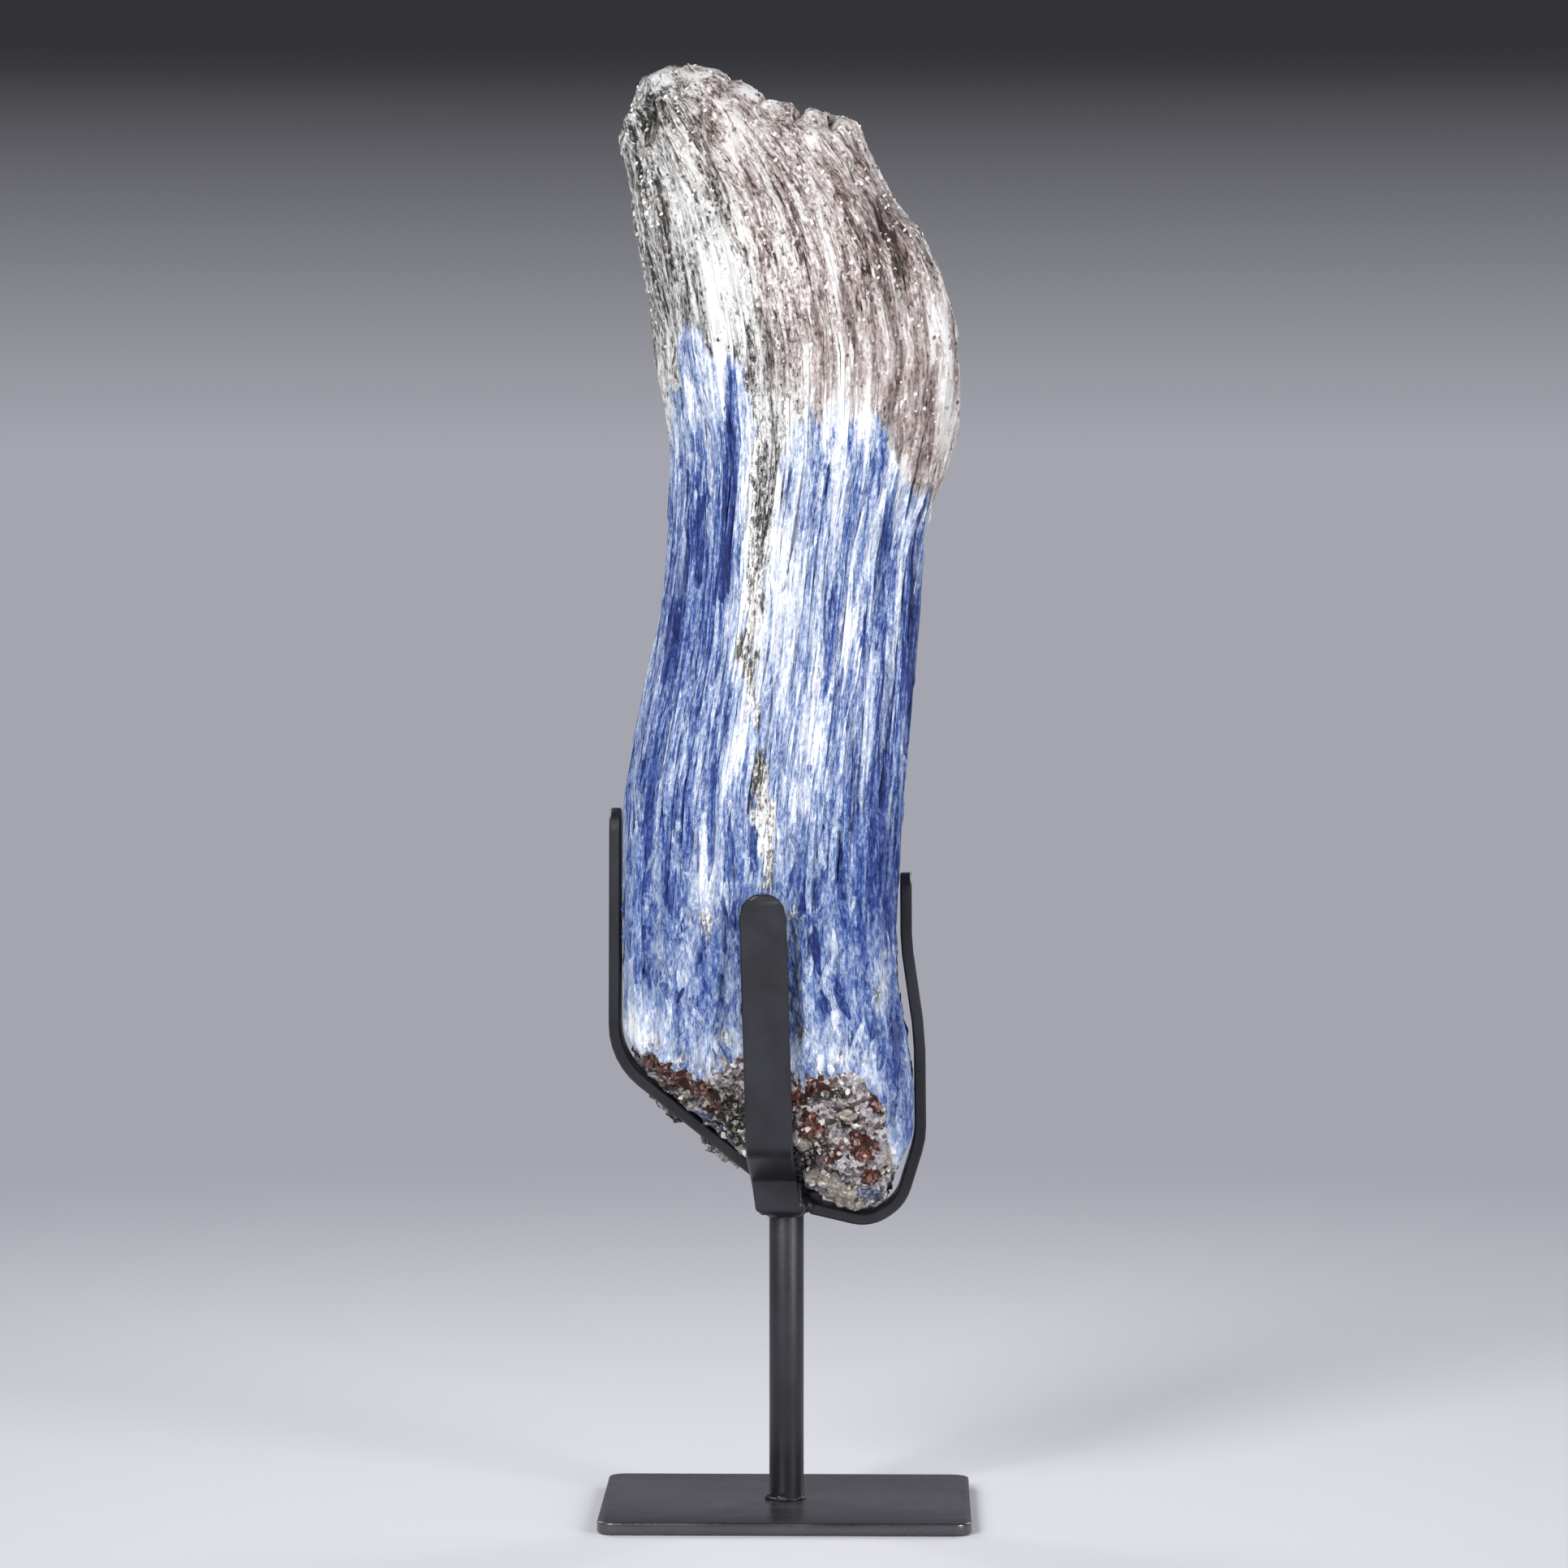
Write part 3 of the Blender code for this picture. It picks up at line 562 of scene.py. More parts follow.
    # The broken foot: pale rock, black mica, garnet and quartz
    grit = split((0.95, 0.95, 0.8))
    crumb = drawn((0.9, 0.9, 0.8), 6, 0.8)
    mineral = drawn((0.8, 0.8, 0.7), 6, 0.85) * 0.9 + grit * 0.34 - 0.13
    pale_colour = paint.ramp(mineral, (
        (0.28, (0.040, 0.028, 0.025)), (0.38, (0.16, 0.115, 0.105)), (0.49, (0.33, 0.305, 0.345)),
        (0.59, (0.60, 0.57, 0.595)), (0.69, (0.92, 0.90, 0.88))))
    # Mostly black mica; its palest stop paints silver glints on it.
    mica_and_glint_colour = paint.ramp(mineral, (
        (0.38, (0.008, 0.007, 0.006)), (0.52, (0.034, 0.029, 0.024)), (0.59, (0.13, 0.115, 0.10)),
        (0.65, (0.66, 0.63, 0.60))))
    red_colour = paint.ramp(mineral, (
        (0.36, (0.030, 0.008, 0.006)), (0.48, look.garnet_red), (0.58, (0.19, 0.070, 0.045)),
        (0.67, (0.62, 0.47, 0.40))))
    cream_colour = paint.ramp(crumb, (
        (0.30, (0.10, 0.085, 0.065)), (0.48, (0.42, 0.37, 0.30)), (0.62, (0.80, 0.77, 0.70))))
    broken = (crumb - 0.5) * 1.3 + (grit - 0.5) * 0.65
    foot_colour = paint.mix((black * 1.3 + broken * 0.6).between(0.42, 0.52), pale_colour, mica_and_glint_colour)
    foot_colour = paint.mix((garnet * 1.1 - broken * 0.8).between(0.46, 0.54), foot_colour, red_colour)
    foot_colour = paint.mix((quartz + (crumb - 0.5) * 0.8).between(0.40, 0.55), foot_colour, cream_colour)

    # The three kinds together
    rocky = schist + silver * 0.9 + (streak - 0.5) * 0.9 + (fleck - 0.5) * 0.7
    coloured = paint.mix(rocky.between(0.35, 0.65), blue, rock)
    coloured = paint.mix((foot + (crumb - 0.5) * 1.2).between(0.40, 0.60), coloured, foot_colour)
    paint.set(Base_Color=coloured)
    shine = 0.46 - (speck_and_glint_cells.between(0.7, 0.95) * 0.22) * schist - (grit.between(0.5, 0.9) * 0.2) * foot
    paint.set(Roughness=(shine + (fibre - 0.5) * 0.35).clamp())
    relief = (streak * 0.6 + fibre * 0.55 + fleck * short * 0.5 + thread * schist * 0.9
              + fleck * schist * 0.5 + crumb * foot * 1.6 + speck_and_glint_cells * schist * 0.3)
    paint.set(Normal=paint.bump(relief, 0.9, 0.0008))
    paint.set(IOR=1.6, Specular_IOR_Level=0.3)
    return paint.owner


def mineral_material(name, stops, roughness, ior=1.5):
    """Small crystals, coloured by their own number and mottled."""
    paint = Paint.material(name)
    place = paint.place()
    mottle = paint.noise(place, 900.0, 3.0)
    own = paint.attribute("shift") + 0.5
    paint.set(Base_Color=paint.ramp(own + (mottle - 0.5) * 0.5, stops))
    paint.set(Roughness=(roughness + (mottle - 0.5) * 0.4).clamp())
    paint.set(Normal=paint.bump(mottle, 0.4, 0.0003))
    paint.set(IOR=ior)
    return paint.owner


def steel_material(name, look, brush_and_sheen_share=0.0, ior=1.5):
    """Satin black paint over steel, a little uneven, with rubbed high spots."""
    paint = Paint.material(name)
    place = paint.place()
    cloud = paint.noise(place, 45.0, 4.0)
    peel = paint.noise(place, 900.0, 2.0)
    brush_and_sheen_streaks = paint.noise(paint.stretch(place, (14.0, 260.0, 120.0)), 1.0, 5.0, 0.65)
    scuff = paint.noise(place, 150.0, 6.0, 0.75)
    base = paint.mix(cloud.between(0.3, 0.7), look.paint_dark, look.paint_light)
    base = paint.mix(scuff.between(0.70, 0.78) * 0.35, base, (0.16, 0.15, 0.145, 1.0))
    # Lighter colour along the brush marks: real brush marks, with the plate's streaky reflection painted into
    # the colour. The marks also change roughness and bump below.
    if brush_and_sheen_share:
        base = paint.mix(brush_and_sheen_streaks.between(0.42, 0.70) * brush_and_sheen_share, base, (0.10, 0.10, 0.11, 1.0))
    paint.set(Base_Color=base)
    rough = look.paint_roughness + (cloud - 0.5) * 0.25 + (scuff - 0.5) * 0.2
    if brush_and_sheen_share:
        rough = rough - 0.14 + (brush_and_sheen_streaks - 0.5) * 0.16
    paint.set(Roughness=rough.clamp())
    paint.set(Normal=paint.bump(peel + brush_and_sheen_streaks * brush_and_sheen_share, 0.25, 0.0002), IOR=ior)
    return paint.owner


class StoneLook(bpy.types.PropertyGroup):
    voxel: bpy.props.FloatProperty(
        name="Surface detail", description="Spacing of the stone's surface points", default=0.001,
        min=0.0005, unit="LENGTH", precision=5)
    blade_count: bpy.props.IntProperty(
        name="Blades", description="How many blades lie on the surface", default=3000, min=0)
    blade_lift: bpy.props.FloatProperty(
        name="Blade lift", description="How far the proudest blades stand out", default=0.0011,
        unit="LENGTH", precision=5)
    flake_count: bpy.props.IntProperty(
        name="Mica flakes", description="Mica flakes on the schist and in its vein", default=1500, min=0)
    garnet_count: bpy.props.IntProperty(
        name="Garnets", description="Garnets in the broken foot", default=230, min=0)
    paleness: bpy.props.FloatProperty(
        name="Paleness", description="How pale the stone is on average, 0 for deep blue and 1 for white",
        default=0.52, min=0.0, max=1.0, subtype="FACTOR")
    deep_blue: bpy.props.FloatVectorProperty(
        name="Deep blue", description="Colour of the darkest blades", subtype="COLOR", size=3,
        default=(0.009, 0.031, 0.215))
    middle_blue: bpy.props.FloatVectorProperty(
        name="Middle blue", description="Colour of most blades", subtype="COLOR", size=3,
        default=(0.145, 0.218, 0.435))
    pale_blue: bpy.props.FloatVectorProperty(
        name="Pale blue", description="Colour of the palest blades", subtype="COLOR", size=3,
        default=(0.305, 0.383, 0.570))
    schist_silver: bpy.props.FloatVectorProperty(
        name="Silver schist", description="Colour of the grey schist", subtype="COLOR", size=3,
        default=(0.480, 0.465, 0.450))
    schist_brown: bpy.props.FloatVectorProperty(
        name="Brown schist", description="Colour of the brown schist", subtype="COLOR", size=3,
        default=(0.420, 0.345, 0.330))
    garnet_red: bpy.props.FloatVectorProperty(
        name="Garnet", description="Colour of the garnets", subtype="COLOR", size=3,
        default=(0.085, 0.019, 0.012))


class StandLook(bpy.types.PropertyGroup):
    paint_dark: bpy.props.FloatVectorProperty(
        name="Dark paint", description="Darker tone of the black paint", subtype="COLOR", size=4,
        default=(0.008, 0.008, 0.011, 1.0))
    paint_light: bpy.props.FloatVectorProperty(
        name="Light paint", description="Lighter tone of the black paint", subtype="COLOR", size=4,
        default=(0.016, 0.017, 0.023, 1.0))
    paint_roughness: bpy.props.FloatProperty(
        name="Paint roughness", description="Gloss of the paint, 0 for a mirror", default=0.42,
        min=0.0, max=1.0, subtype="FACTOR")


class StudioLook(bpy.types.PropertyGroup):
    floor_colour: bpy.props.FloatVectorProperty(
        name="Floor", description="Colour of the floor", subtype="COLOR", size=4,
        default=(0.63, 0.63, 0.68, 1.0))
    sky_colour: bpy.props.FloatVectorProperty(
        name="Surround", description="Colour of the soft surround", subtype="COLOR", size=4,
        default=(0.49, 0.495, 0.56, 1.0))
    sky_strength: bpy.props.FloatProperty(
        name="Surround strength", description="Brightness of the surround", default=0.76, min=0.0)
    key_power: bpy.props.FloatProperty(
        name="Key light", description="Power of the main lamp", default=27.0, unit="POWER")
    fill_power: bpy.props.FloatProperty(
        name="Fill light", description="Power of the second lamp", default=16.0, unit="POWER")
    camera_distance: bpy.props.FloatProperty(
        name="Camera distance", description="From the post to the camera", default=1.5463, unit="LENGTH")
    camera_height: bpy.props.FloatProperty(
        name="Camera height", description="Height of the camera above the floor", default=0.287,
        unit="LENGTH")


def crevice(x, y, z, at, reach, depth):
    """Depth of a hollow at a spot. Those in the crown run through it and wander a little."""
    through = at[1] > CROWN
    drift = 2.2 * wobble(at[0] / 3, y / 8, z / 12, 31) if through else 0.0
    away = ((x - at[0] - drift) / reach[0]) ** 2 + ((z - at[1]) / reach[1]) ** 2
    return depth * math.exp(-away) if (y < 0 or through) and away < 6 else 0.0


def relief_at(x, y, z, look):
    """How far the surface sinks in at a spot, in mm: stepped blades, wavy schist, a crumbly foot."""
    across, depth, along = grain_at(x, y, z)
    around = across + 0.9 * depth
    wide = around / 4.6 + 0.5 * wobble(around / 9, depth / 9, along / 60, 2)
    narrow = around / 2.1 + 0.4 * wobble(around / 5, depth / 5, along / 30, 9)
    wide_cell, narrow_cell = math.floor(wide), math.floor(narrow)
    reach = 52 if z > 190 else 26
    start = 7.3 * noise.cell(Vector((wide_cell, 0, 0)))
    wide_step = noise.cell(Vector((wide_cell, 3.5, along / reach + start)))
    narrow_step = noise.cell(Vector((narrow_cell, 9.5, along / (reach * 0.5) + 5.1 * (narrow_cell % 7))))
    blades = 1.25 * wide_step + 0.75 * narrow_step
    folds = (1.1 + 1.3 * wobble(across / 5.5, depth / 6, along / 34, 4)
             + 0.8 * wobble(across / 2.2, depth / 2.4, along / 14, 6)
             + 0.45 * wobble(x / 1.1, y / 1.1, z / 3.4, 8))
    crumbs = 0.4 + 1.6 * wobble(x / 2.6, y / 2.6, z / 2.6, 12) + 0.9 * wobble(x / 1.3, y / 1.3, z / 1.3, 14)
    crumbs -= 2.4 * math.exp(-((x - 22) / 8) ** 2 - ((z - 86) / 5) ** 2)
    sunk = blades + (folds - blades) * max(look.schist, 0.7 * look.silver) + 1.3 * max(0.0, -look.proud)
    sunk += (crumbs - sunk) * look.foot
    for hollow in CREVICES:
        sunk += crevice(x, y, z, *hollow)
    return sunk if look.foot > 0.5 else max(0.0, sunk) * (1 - 0.65 * ease(389, 396, z))


class Stone:
    """The carved surface, kept so that blades and grains can be set on it, and the bars that they avoid."""

    tree = None
    bars = None
    material = None

    @classmethod
    def keep(cls, mesh, points):
        faces = [tuple(f.vertices) for f in mesh.polygons]
        cls.tree = BVHTree.FromPolygons([Vector(p) for p in points], faces)

    @classmethod
    def watch_bars(cls):
        corners, faces = [], []
        for node in BARS:
            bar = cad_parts[node].data
            faces += [tuple(len(corners) + k for k in f.vertices) for f in bar.polygons]
            corners += [Vector(p) for p in mesh_points(bar)]
        cls.bars = BVHTree.FromPolygons(corners, faces)

    @classmethod
    def room(cls, place, most):
        """Distance to the nearest bar, or the most that matters."""
        distance = cls.bars.find_nearest(place, most)[3]
        return most if distance is None else distance

    @classmethod
    def touch(cls, side, across, height):
        """The point and normal seen from a side, so far across it and at a height."""
        turn = side * math.pi / 2
        look = Vector((-math.sin(turn), math.cos(turn), 0))
        middle = column(GRAIN, height)
        if side % 2:
            start = Vector((middle, across, height))
        else:
            sign = 1 if side == 0 else -1
            start = Vector((middle + sign * across * column(GRAIN, height, 2) / GRAIN_HALF, 0, height))
        return cls.tree.ray_cast(start - look * RAY_START, look)[:2]

    @staticmethod
    def pick(rng, weights, half_width, half_depth):
        """A side, picked by weight, and a place across it."""
        side = rng.choices(SIDES, weights)[0]
        half = half_depth if side % 2 else half_width
        return side, rng.uniform(-half, half)


class SPECIMEN_OT_stone(bpy.types.Operator):
    """Carve the stone's stepped, wavy and crumbly surface"""

    bl_idname = "specimen.stone"
    bl_label = "Stone"

    def execute(self, context):
        look = context.scene.specimen_stone
        stone = merged_copy("kyanite_specimen", "stone")
        remesh = stone.modifiers.new("even", "REMESH")
        remesh.mode = "VOXEL"
        remesh.voxel_size = look.voxel
        apply_modifiers(stone)
        mesh = stone.data
        points = mesh_points(mesh)
        normals = np.empty(len(mesh.vertices) * 3)
        mesh.vertices.foreach_get("normal", normals)
        normals = normals.reshape(-1, 3)
        looks = [Look(*p) for p in points]
        Stone.watch_bars()
        sunk = np.array([relief_at(*p, spot) for p, spot in zip(points, looks)])
        for index in np.nonzero(sunk < 0)[0]:
            sunk[index] = max(sunk[index], STONE_ROOM - Stone.room(Vector(points[index]), 4))
        carved = points - normals * sunk[:, None]
        carved = keep_in_box(carved, 0.2, 0.05)
        slope = PRONG_TOP - (carved[:, 1] - PRONG_FRONT) * PRONG_FALL
        over_prong = (np.abs(carved[:, 0] - PRONG_MIDDLE) < PRONG_HALF) & (carved[:, 1] < PRONG_END)
        under = over_prong & (carved[:, 2] < slope)
        carved[under, 2] = slope[under]
        write_points(mesh, carved)
        write_looks(mesh, points, looks)
        bpy.ops.object.shade_smooth()
        Stone.keep(mesh, carved)
        Stone.material = stone_material("kyanite_and_schist_surface", look)
        finish_piece(stone, Stone.material, STONE_SLOT, "kyanite_specimen")
        return {"FINISHED"}


class Heap:
    """Many small solids gathered into one mesh, each with its own look and shift."""

    def __init__(self):
        self.points, self.faces, self.looks, self.shifts = [], [], [], []

    def add(self, points, faces, look, shift):
        first = len(self.points)
        self.points += points
        self.faces += [tuple(first + k for k in face) for face in faces]
        self.looks += look if isinstance(look, list) else [look] * len(points)
        self.shifts += [shift] * len(points)

    def build(self, name):
        mesh = bpy.data.meshes.new(name)
        points = keep_in_box(np.array([tuple(p) for p in self.points]), 0.1, 0.02)
        mesh.from_pydata([tuple(p * MM) for p in points], [], self.faces)
        write_looks(mesh, points, self.looks)
        shift = mesh.attributes.new("shift", "FLOAT", "POINT")
        shift.data.foreach_set("value", np.array(self.shifts))
        obj = bpy.data.objects.new(name, mesh)
        bpy.context.scene.collection.objects.link(obj)
        edit_all(obj)
        bpy.ops.mesh.normals_make_consistent(inside=False)
        leave_edit()
        return obj


def blade_rings(stations, width, lift, tilt):
    """Cross-sections of one blade along its line: a flat top in two facets, with sunk and narrowed ends."""
    points = []
    count = len(stations)
    ridge = 0.15 * width
    for index, (place, normal) in enumerate(stations):
        ahead = stations[min(index + 1, count - 1)][0] - stations[max(index - 1, 0)][0]
        side = normal.cross(ahead).normalized()
        end = index in (0, count - 1)
        half = width / 2 * (BLADE_TAPER if end else 1.0)
        top = BLADE_END if end else lift
        for s, h in ((-half, BLADE_ROOT), (-half, top - tilt), (ridge, top + abs(tilt) * 0.4),
                     (half, top + tilt), (half, BLADE_ROOT)):
            points.append(place + side * s + normal * h)
    faces = []
    for first in range(0, (count - 1) * BLADE_CORNERS, BLADE_CORNERS):
        for k in range(BLADE_CORNERS):
            a, b = first + k, first + (k + 1) % BLADE_CORNERS
            faces.append((a, b, b + BLADE_CORNERS, a + BLADE_CORNERS))
    faces.append(tuple(range(BLADE_CORNERS)))
    faces.append(tuple(range(len(points) - BLADE_CORNERS, len(points)))[::-1])
    return points, faces


def lay_blade(heap, side, across, height, length, width, lift, slant, shift, rng):
    """Follows the stone's surface from one end of a blade to the other.

    A blade that meets a bar, an edge of the stone or a steep flank is left out.
    """
    count = max(3, min(9, int(length / 9) + 2))
    stations = []
    for index in range(count):
        run = (index / (count - 1) - 0.5) * length
        place, normal = Stone.touch(side, across + run * math.tan(slant), height + run)
        if place is None or Stone.room(place, 2) < BLADE_ROOM:
            return
        stations.append((place, normal))
    mean = sum((n for _, n in stations), Vector()).normalized()
    if any(n.dot(mean) < 0.35 for _, n in stations):
        return
    stations = [(p, (n * 0.25 + mean).normalized()) for p, n in stations]
    middle = Look(*stations[count // 2][0])
    looks = []
    for place, _ in stations:
        here = Look(*place)
        here.tone += 0.6 * (middle.tone - here.tone)
        looks += [here] * BLADE_CORNERS
    points, faces = blade_rings(stations, width, lift, rng.uniform(-0.16, 0.16) * width)
    depth = 1 - side % 2
    steps = [b[0] - a[0] for a, b in zip(stations, stations[1:])]
    if all(abs(step[depth]) < STEEPEST * abs(step.z) for step in steps):
        heap.add(points, faces, looks, shift)


class SPECIMEN_OT_blades(bpy.types.Operator):
    """Lay single kyanite blades and schist threads along the grain"""

    bl_idname = "specimen.blades"
    bl_label = "Blades"

    def execute(self, context):
        look = context.scene.specimen_stone
        rng = random.Random(7)
        heap = Heap()
        for _ in range(look.blade_count):
            side, across = Stone.pick(rng, BLADE_SIDES, 36.5, 24)
            height = rng.uniform(*BLADE_HEIGHTS)
            spot, _ = Stone.touch(side, across, height)
            if spot is None:
                continue
            here = Look(*spot)
            if here.foot > 0.4 or rng.random() < 0.65 * here.schist:
                continue
            if rng.random() > here.short:
                length, slant = rng.uniform(14, 62), rng.gauss(0, 0.018)
            else:
                length, slant = rng.uniform(5, 17), rng.gauss(0, 0.26)
            narrow, low = (0.8, 0.6) if here.schist > 0.5 else (1.0, 1.0)
            width = rng.uniform(0.7, 2.6) * narrow
            lift = look.blade_lift / MM * rng.random() ** 1.8 * low
            lay_blade(heap, side, across, height, length, width, lift, slant, rng.gauss(0, 0.08), rng)
        for x, z, length, width, lean, shift in ANGLED_BLADES:
            lay_blade(heap, 0, grain_at(x, 0, z)[0], z, length, width, 1.0, math.radians(lean), shift, rng)
        finish_piece(heap.build("blades"), Stone.material, STONE_SLOT)
        return {"FINISHED"}


# The fourteen corners of a garnet: those of a cube, and one out over each of its faces
GARNET_CORNERS = [Vector((x, y, z)) for x in (-1, 1) for y in (-1, 1) for z in (-1, 1)]
GARNET_CORNERS += [Vector(axis) * 2 * sign for axis in ((1, 0, 0), (0, 1, 0), (0, 0, 1)) for sign in (1, -1)]


def garnet_faces():
    """The faces of a garnet, as the hull of its corners."""
    build = bmesh.new()
    verts = [build.verts.new(c) for c in GARNET_CORNERS]
    bmesh.ops.convex_hull(build, input=verts)
    build.verts.index_update()
    faces = [tuple(v.index for v in f.verts) for f in build.faces]
    build.free()
    return faces


def random_spin(rng):
    axis = Vector((rng.gauss(0, 1), rng.gauss(0, 1), rng.gauss(0, 1))).normalized()
    return Quaternion(axis, rng.uniform(0, math.pi))


def leaning(normal, spread, rng):
    """A random direction near the normal, spread differently along each axis."""
    return (normal + Vector([rng.gauss(0, part) for part in spread])).normalized()


def flake(normal, radius, thickness, rng):
    """A six-sided mica plate facing along a normal."""
    side = normal.orthogonal().normalized()
    other = normal.cross(side)
    start = rng.uniform(0, math.pi)
    ring = []
    for layer in (-0.5, 0.5):
        for k in range(6):
            angle = start + k * math.pi / 3
            reach = radius * rng.uniform(0.75, 1.1)
            ring.append(side * math.cos(angle) * reach + other * math.sin(angle) * reach * 0.7
                        + normal * layer * thickness)
    faces = [tuple(range(6))[::-1], tuple(range(6, 12))]
    faces += [(k, (k + 1) % 6, (k + 1) % 6 + 6, k + 6) for k in range(6)]
    return ring, faces


def spots_in(rng, wanted, heights, test):
    """Random places on the surface between two heights whose look passes a test."""
    found, tries = [], 0
    while len(found) < wanted and tries < wanted * 30:
        tries += 1
        side, across = Stone.pick(rng, GRAIN_SIDES, 37, 25)
        place, normal = Stone.touch(side, across, rng.uniform(*heights))
        if place is None:
            continue
        look = Look(*place)
        if test(look):
            found.append((place, normal, look))
    return found


def grain_points(place, normal, radius, rng, squeeze):
    """The corners of one garnet-shaped grain, half sunk into the surface."""
    spin = random_spin(rng)
    flat = Vector((1, rng.uniform(0.8, 1.1), squeeze))
    return [place - normal * radius * 0.35 + spin @ (c * flat) * (radius / 1.9) for c in GARNET_CORNERS]


class SPECIMEN_OT_foot(bpy.types.Operator):
    """Set garnets, black mica and quartz grains in the broken foot"""

    bl_idname = "specimen.foot"
    bl_label = "Foot minerals"

    def execute(self, context):
        look = context.scene.specimen_stone
        rng = random.Random(23)
        garnets, mica, quartz = Heap(), Heap(), Heap()
        faces = garnet_faces()
        in_foot = spots_in(rng, look.garnet_count * 5, FOOT_HEIGHTS, lambda spot: spot.foot > 0.55)
        for place, normal, spot in in_foot:
            if Stone.room(place, 3) < GRAIN_ROOM:
                continue
            if rng.random() < 0.7 * spot.garnet + 0.04:
                radius = rng.uniform(0.5, 1.6) * (0.6 + 0.5 * spot.garnet)
                corners = grain_points(place, normal, radius, rng, 0.85)
                garnets.add(corners, faces, spot, rng.uniform(-0.5, 0.5))
            elif rng.random() < 0.8 * spot.quartz + 0.10 * (1 - spot.black):
                corners = grain_points(place, normal, rng.uniform(0.5, 1.5), rng, 0.6)
                quartz.add(corners, faces, spot, rng.uniform(-0.5, 0.4))
            elif rng.random() < 0.2 + spot.black:
                lean = leaning(normal, (0.6, 0.6, 0.6), rng)
                ring, plate = flake(lean, rng.uniform(0.3, 1.0), rng.uniform(0.2, 0.4), rng)
                mica.add([place + p + normal * 0.1 for p in ring], plate, spot, rng.uniform(-0.5, 0.5))
        red = mineral_material("garnet", (
            (0.1, (0.025, 0.007, 0.005)), (0.5, look.garnet_red), (0.95, (0.22, 0.080, 0.050))), 0.34, 1.76)
        # The black mica plates' rare pale top stop paints glints on them.
        black = mineral_material("black_mica", (
            (0.1, (0.010, 0.009, 0.008)), (0.55, (0.040, 0.035, 0.030)), (0.78, (0.14, 0.13, 0.12)),
            (0.97, (0.60, 0.58, 0.56))), 0.22, 1.6)
        white = mineral_material("quartz", (
            (0.1, (0.30, 0.25, 0.22)), (0.5, (0.58, 0.53, 0.50)), (0.95, (0.86, 0.84, 0.81))), 0.40)
        finish_piece(garnets.build("garnets"), red, STONE_SLOT)
        finish_piece(mica.build("black_mica_plates"), black, STONE_SLOT)
        finish_piece(quartz.build("quartz_grains"), white, STONE_SLOT)
        return {"FINISHED"}


class SPECIMEN_OT_flakes(bpy.types.Operator):
    """Scatter bright mica flakes over the schist"""

    bl_idname = "specimen.flakes"
    bl_label = "Mica flakes"

    def execute(self, context):
        look = context.scene.specimen_stone
        rng = random.Random(31)
        heap = Heap()
        glittery = spots_in(
            rng, look.flake_count, FLAKE_HEIGHTS, lambda spot: max(spot.schist, spot.silver) > 0.5)
        for place, normal, spot in glittery:
            ring, plate = flake(leaning(normal, (0.35, 0.35, 0.2), rng), rng.uniform(0.3, 0.85), 0.16, rng)
            heap.add([place + p + normal * 0.08 for p in ring], plate, spot, rng.uniform(-0.5, 0.5))
        silver = mineral_material("silver_mica", (
            (0.05, (0.10, 0.085, 0.075)), (0.4, (0.42, 0.38, 0.35)), (0.8, (0.86, 0.85, 0.83))), 0.22, 1.6)
        finish_piece(heap.build("silver_mica_flakes"), silver, STONE_SLOT)
        return {"FINISHED"}


class SPECIMEN_OT_bars(bpy.types.Operator):
    """Smooth and paint the bent arms and prongs"""

    bl_idname = "specimen.bars"
    bl_label = "Arms and prongs"

    def execute(self, context):
        paint = steel_material("black_bar_paint", context.scene.specimen_stand)
        for node in BARS:
            bar = merged_copy(node, node + "_painted")
            ease_edges(bar, BAR_EDGE, 3, 50)
            finish_piece(bar, paint, STEEL_SLOT, node)
        return {"FINISHED"}


class SPECIMEN_OT_post(bpy.types.Operator):
    """Turn the round post"""

    bl_idname = "specimen.post"
    bl_label = "Post"

    def execute(self, context):
        low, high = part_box("post")
        deselect()
        bpy.ops.mesh.primitive_cylinder_add(
            vertices=72, radius=POST_RADIUS, depth=high.z - low.z, location=(0, 0, (low.z + high.z) / 2))
        post = bpy.context.object
        post.name = "post_painted"
        settle(post)
        clear_edit_selection()
        for face in post.data.polygons:
            face.select = face.normal.z > 0.9
        bpy.ops.object.mode_set(mode="EDIT")
        bpy.ops.mesh.inset(thickness=POST_RIM)
        leave_edit()
        ease_edges(post, POST_EDGE, 2, 30)
        paint = steel_material("black_post_paint", context.scene.specimen_stand)
        finish_piece(post, paint, STEEL_SLOT, "post")
        return {"FINISHED"}


class SPECIMEN_OT_base(bpy.types.Operator):
    """Round and paint the base plate"""

    bl_idname = "specimen.base"
    bl_label = "Base plate"

    def execute(self, context):
        low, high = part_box("base_plate")
        deselect()
        bpy.ops.mesh.primitive_cube_add(size=1, location=(low + high) / 2)
        plate = bpy.context.object
        plate.name = "base_plate_painted"
        plate.scale = high - low
        settle(plate)
        edit_all(plate)
        bpy.ops.mesh.select_mode(type="EDGE")
        leave_edit()
        for upright, width, segments in ((True, PLATE_CORNER, 8), (False, PLATE_EDGE, 3)):
            clear_edit_selection()
            corners = plate.data.vertices
            for edge in plate.data.edges:
                one, two = (corners[k].co for k in edge.vertices)
                edge.select = (abs(one.z - two.z) > 0.001) == upright
            bpy.ops.object.mode_set(mode="EDIT")
            bpy.ops.mesh.bevel(offset=width, segments=segments, affect="EDGES")
            leave_edit()
        bpy.ops.object.shade_smooth_by_angle(angle=SMOOTH_ANGLE)
        paint = steel_material("black_plate_paint", context.scene.specimen_stand, brush_and_sheen_share=0.18, ior=2.0)
        finish_piece(plate, paint, STEEL_SLOT, "base_plate")
        return {"FINISHED"}


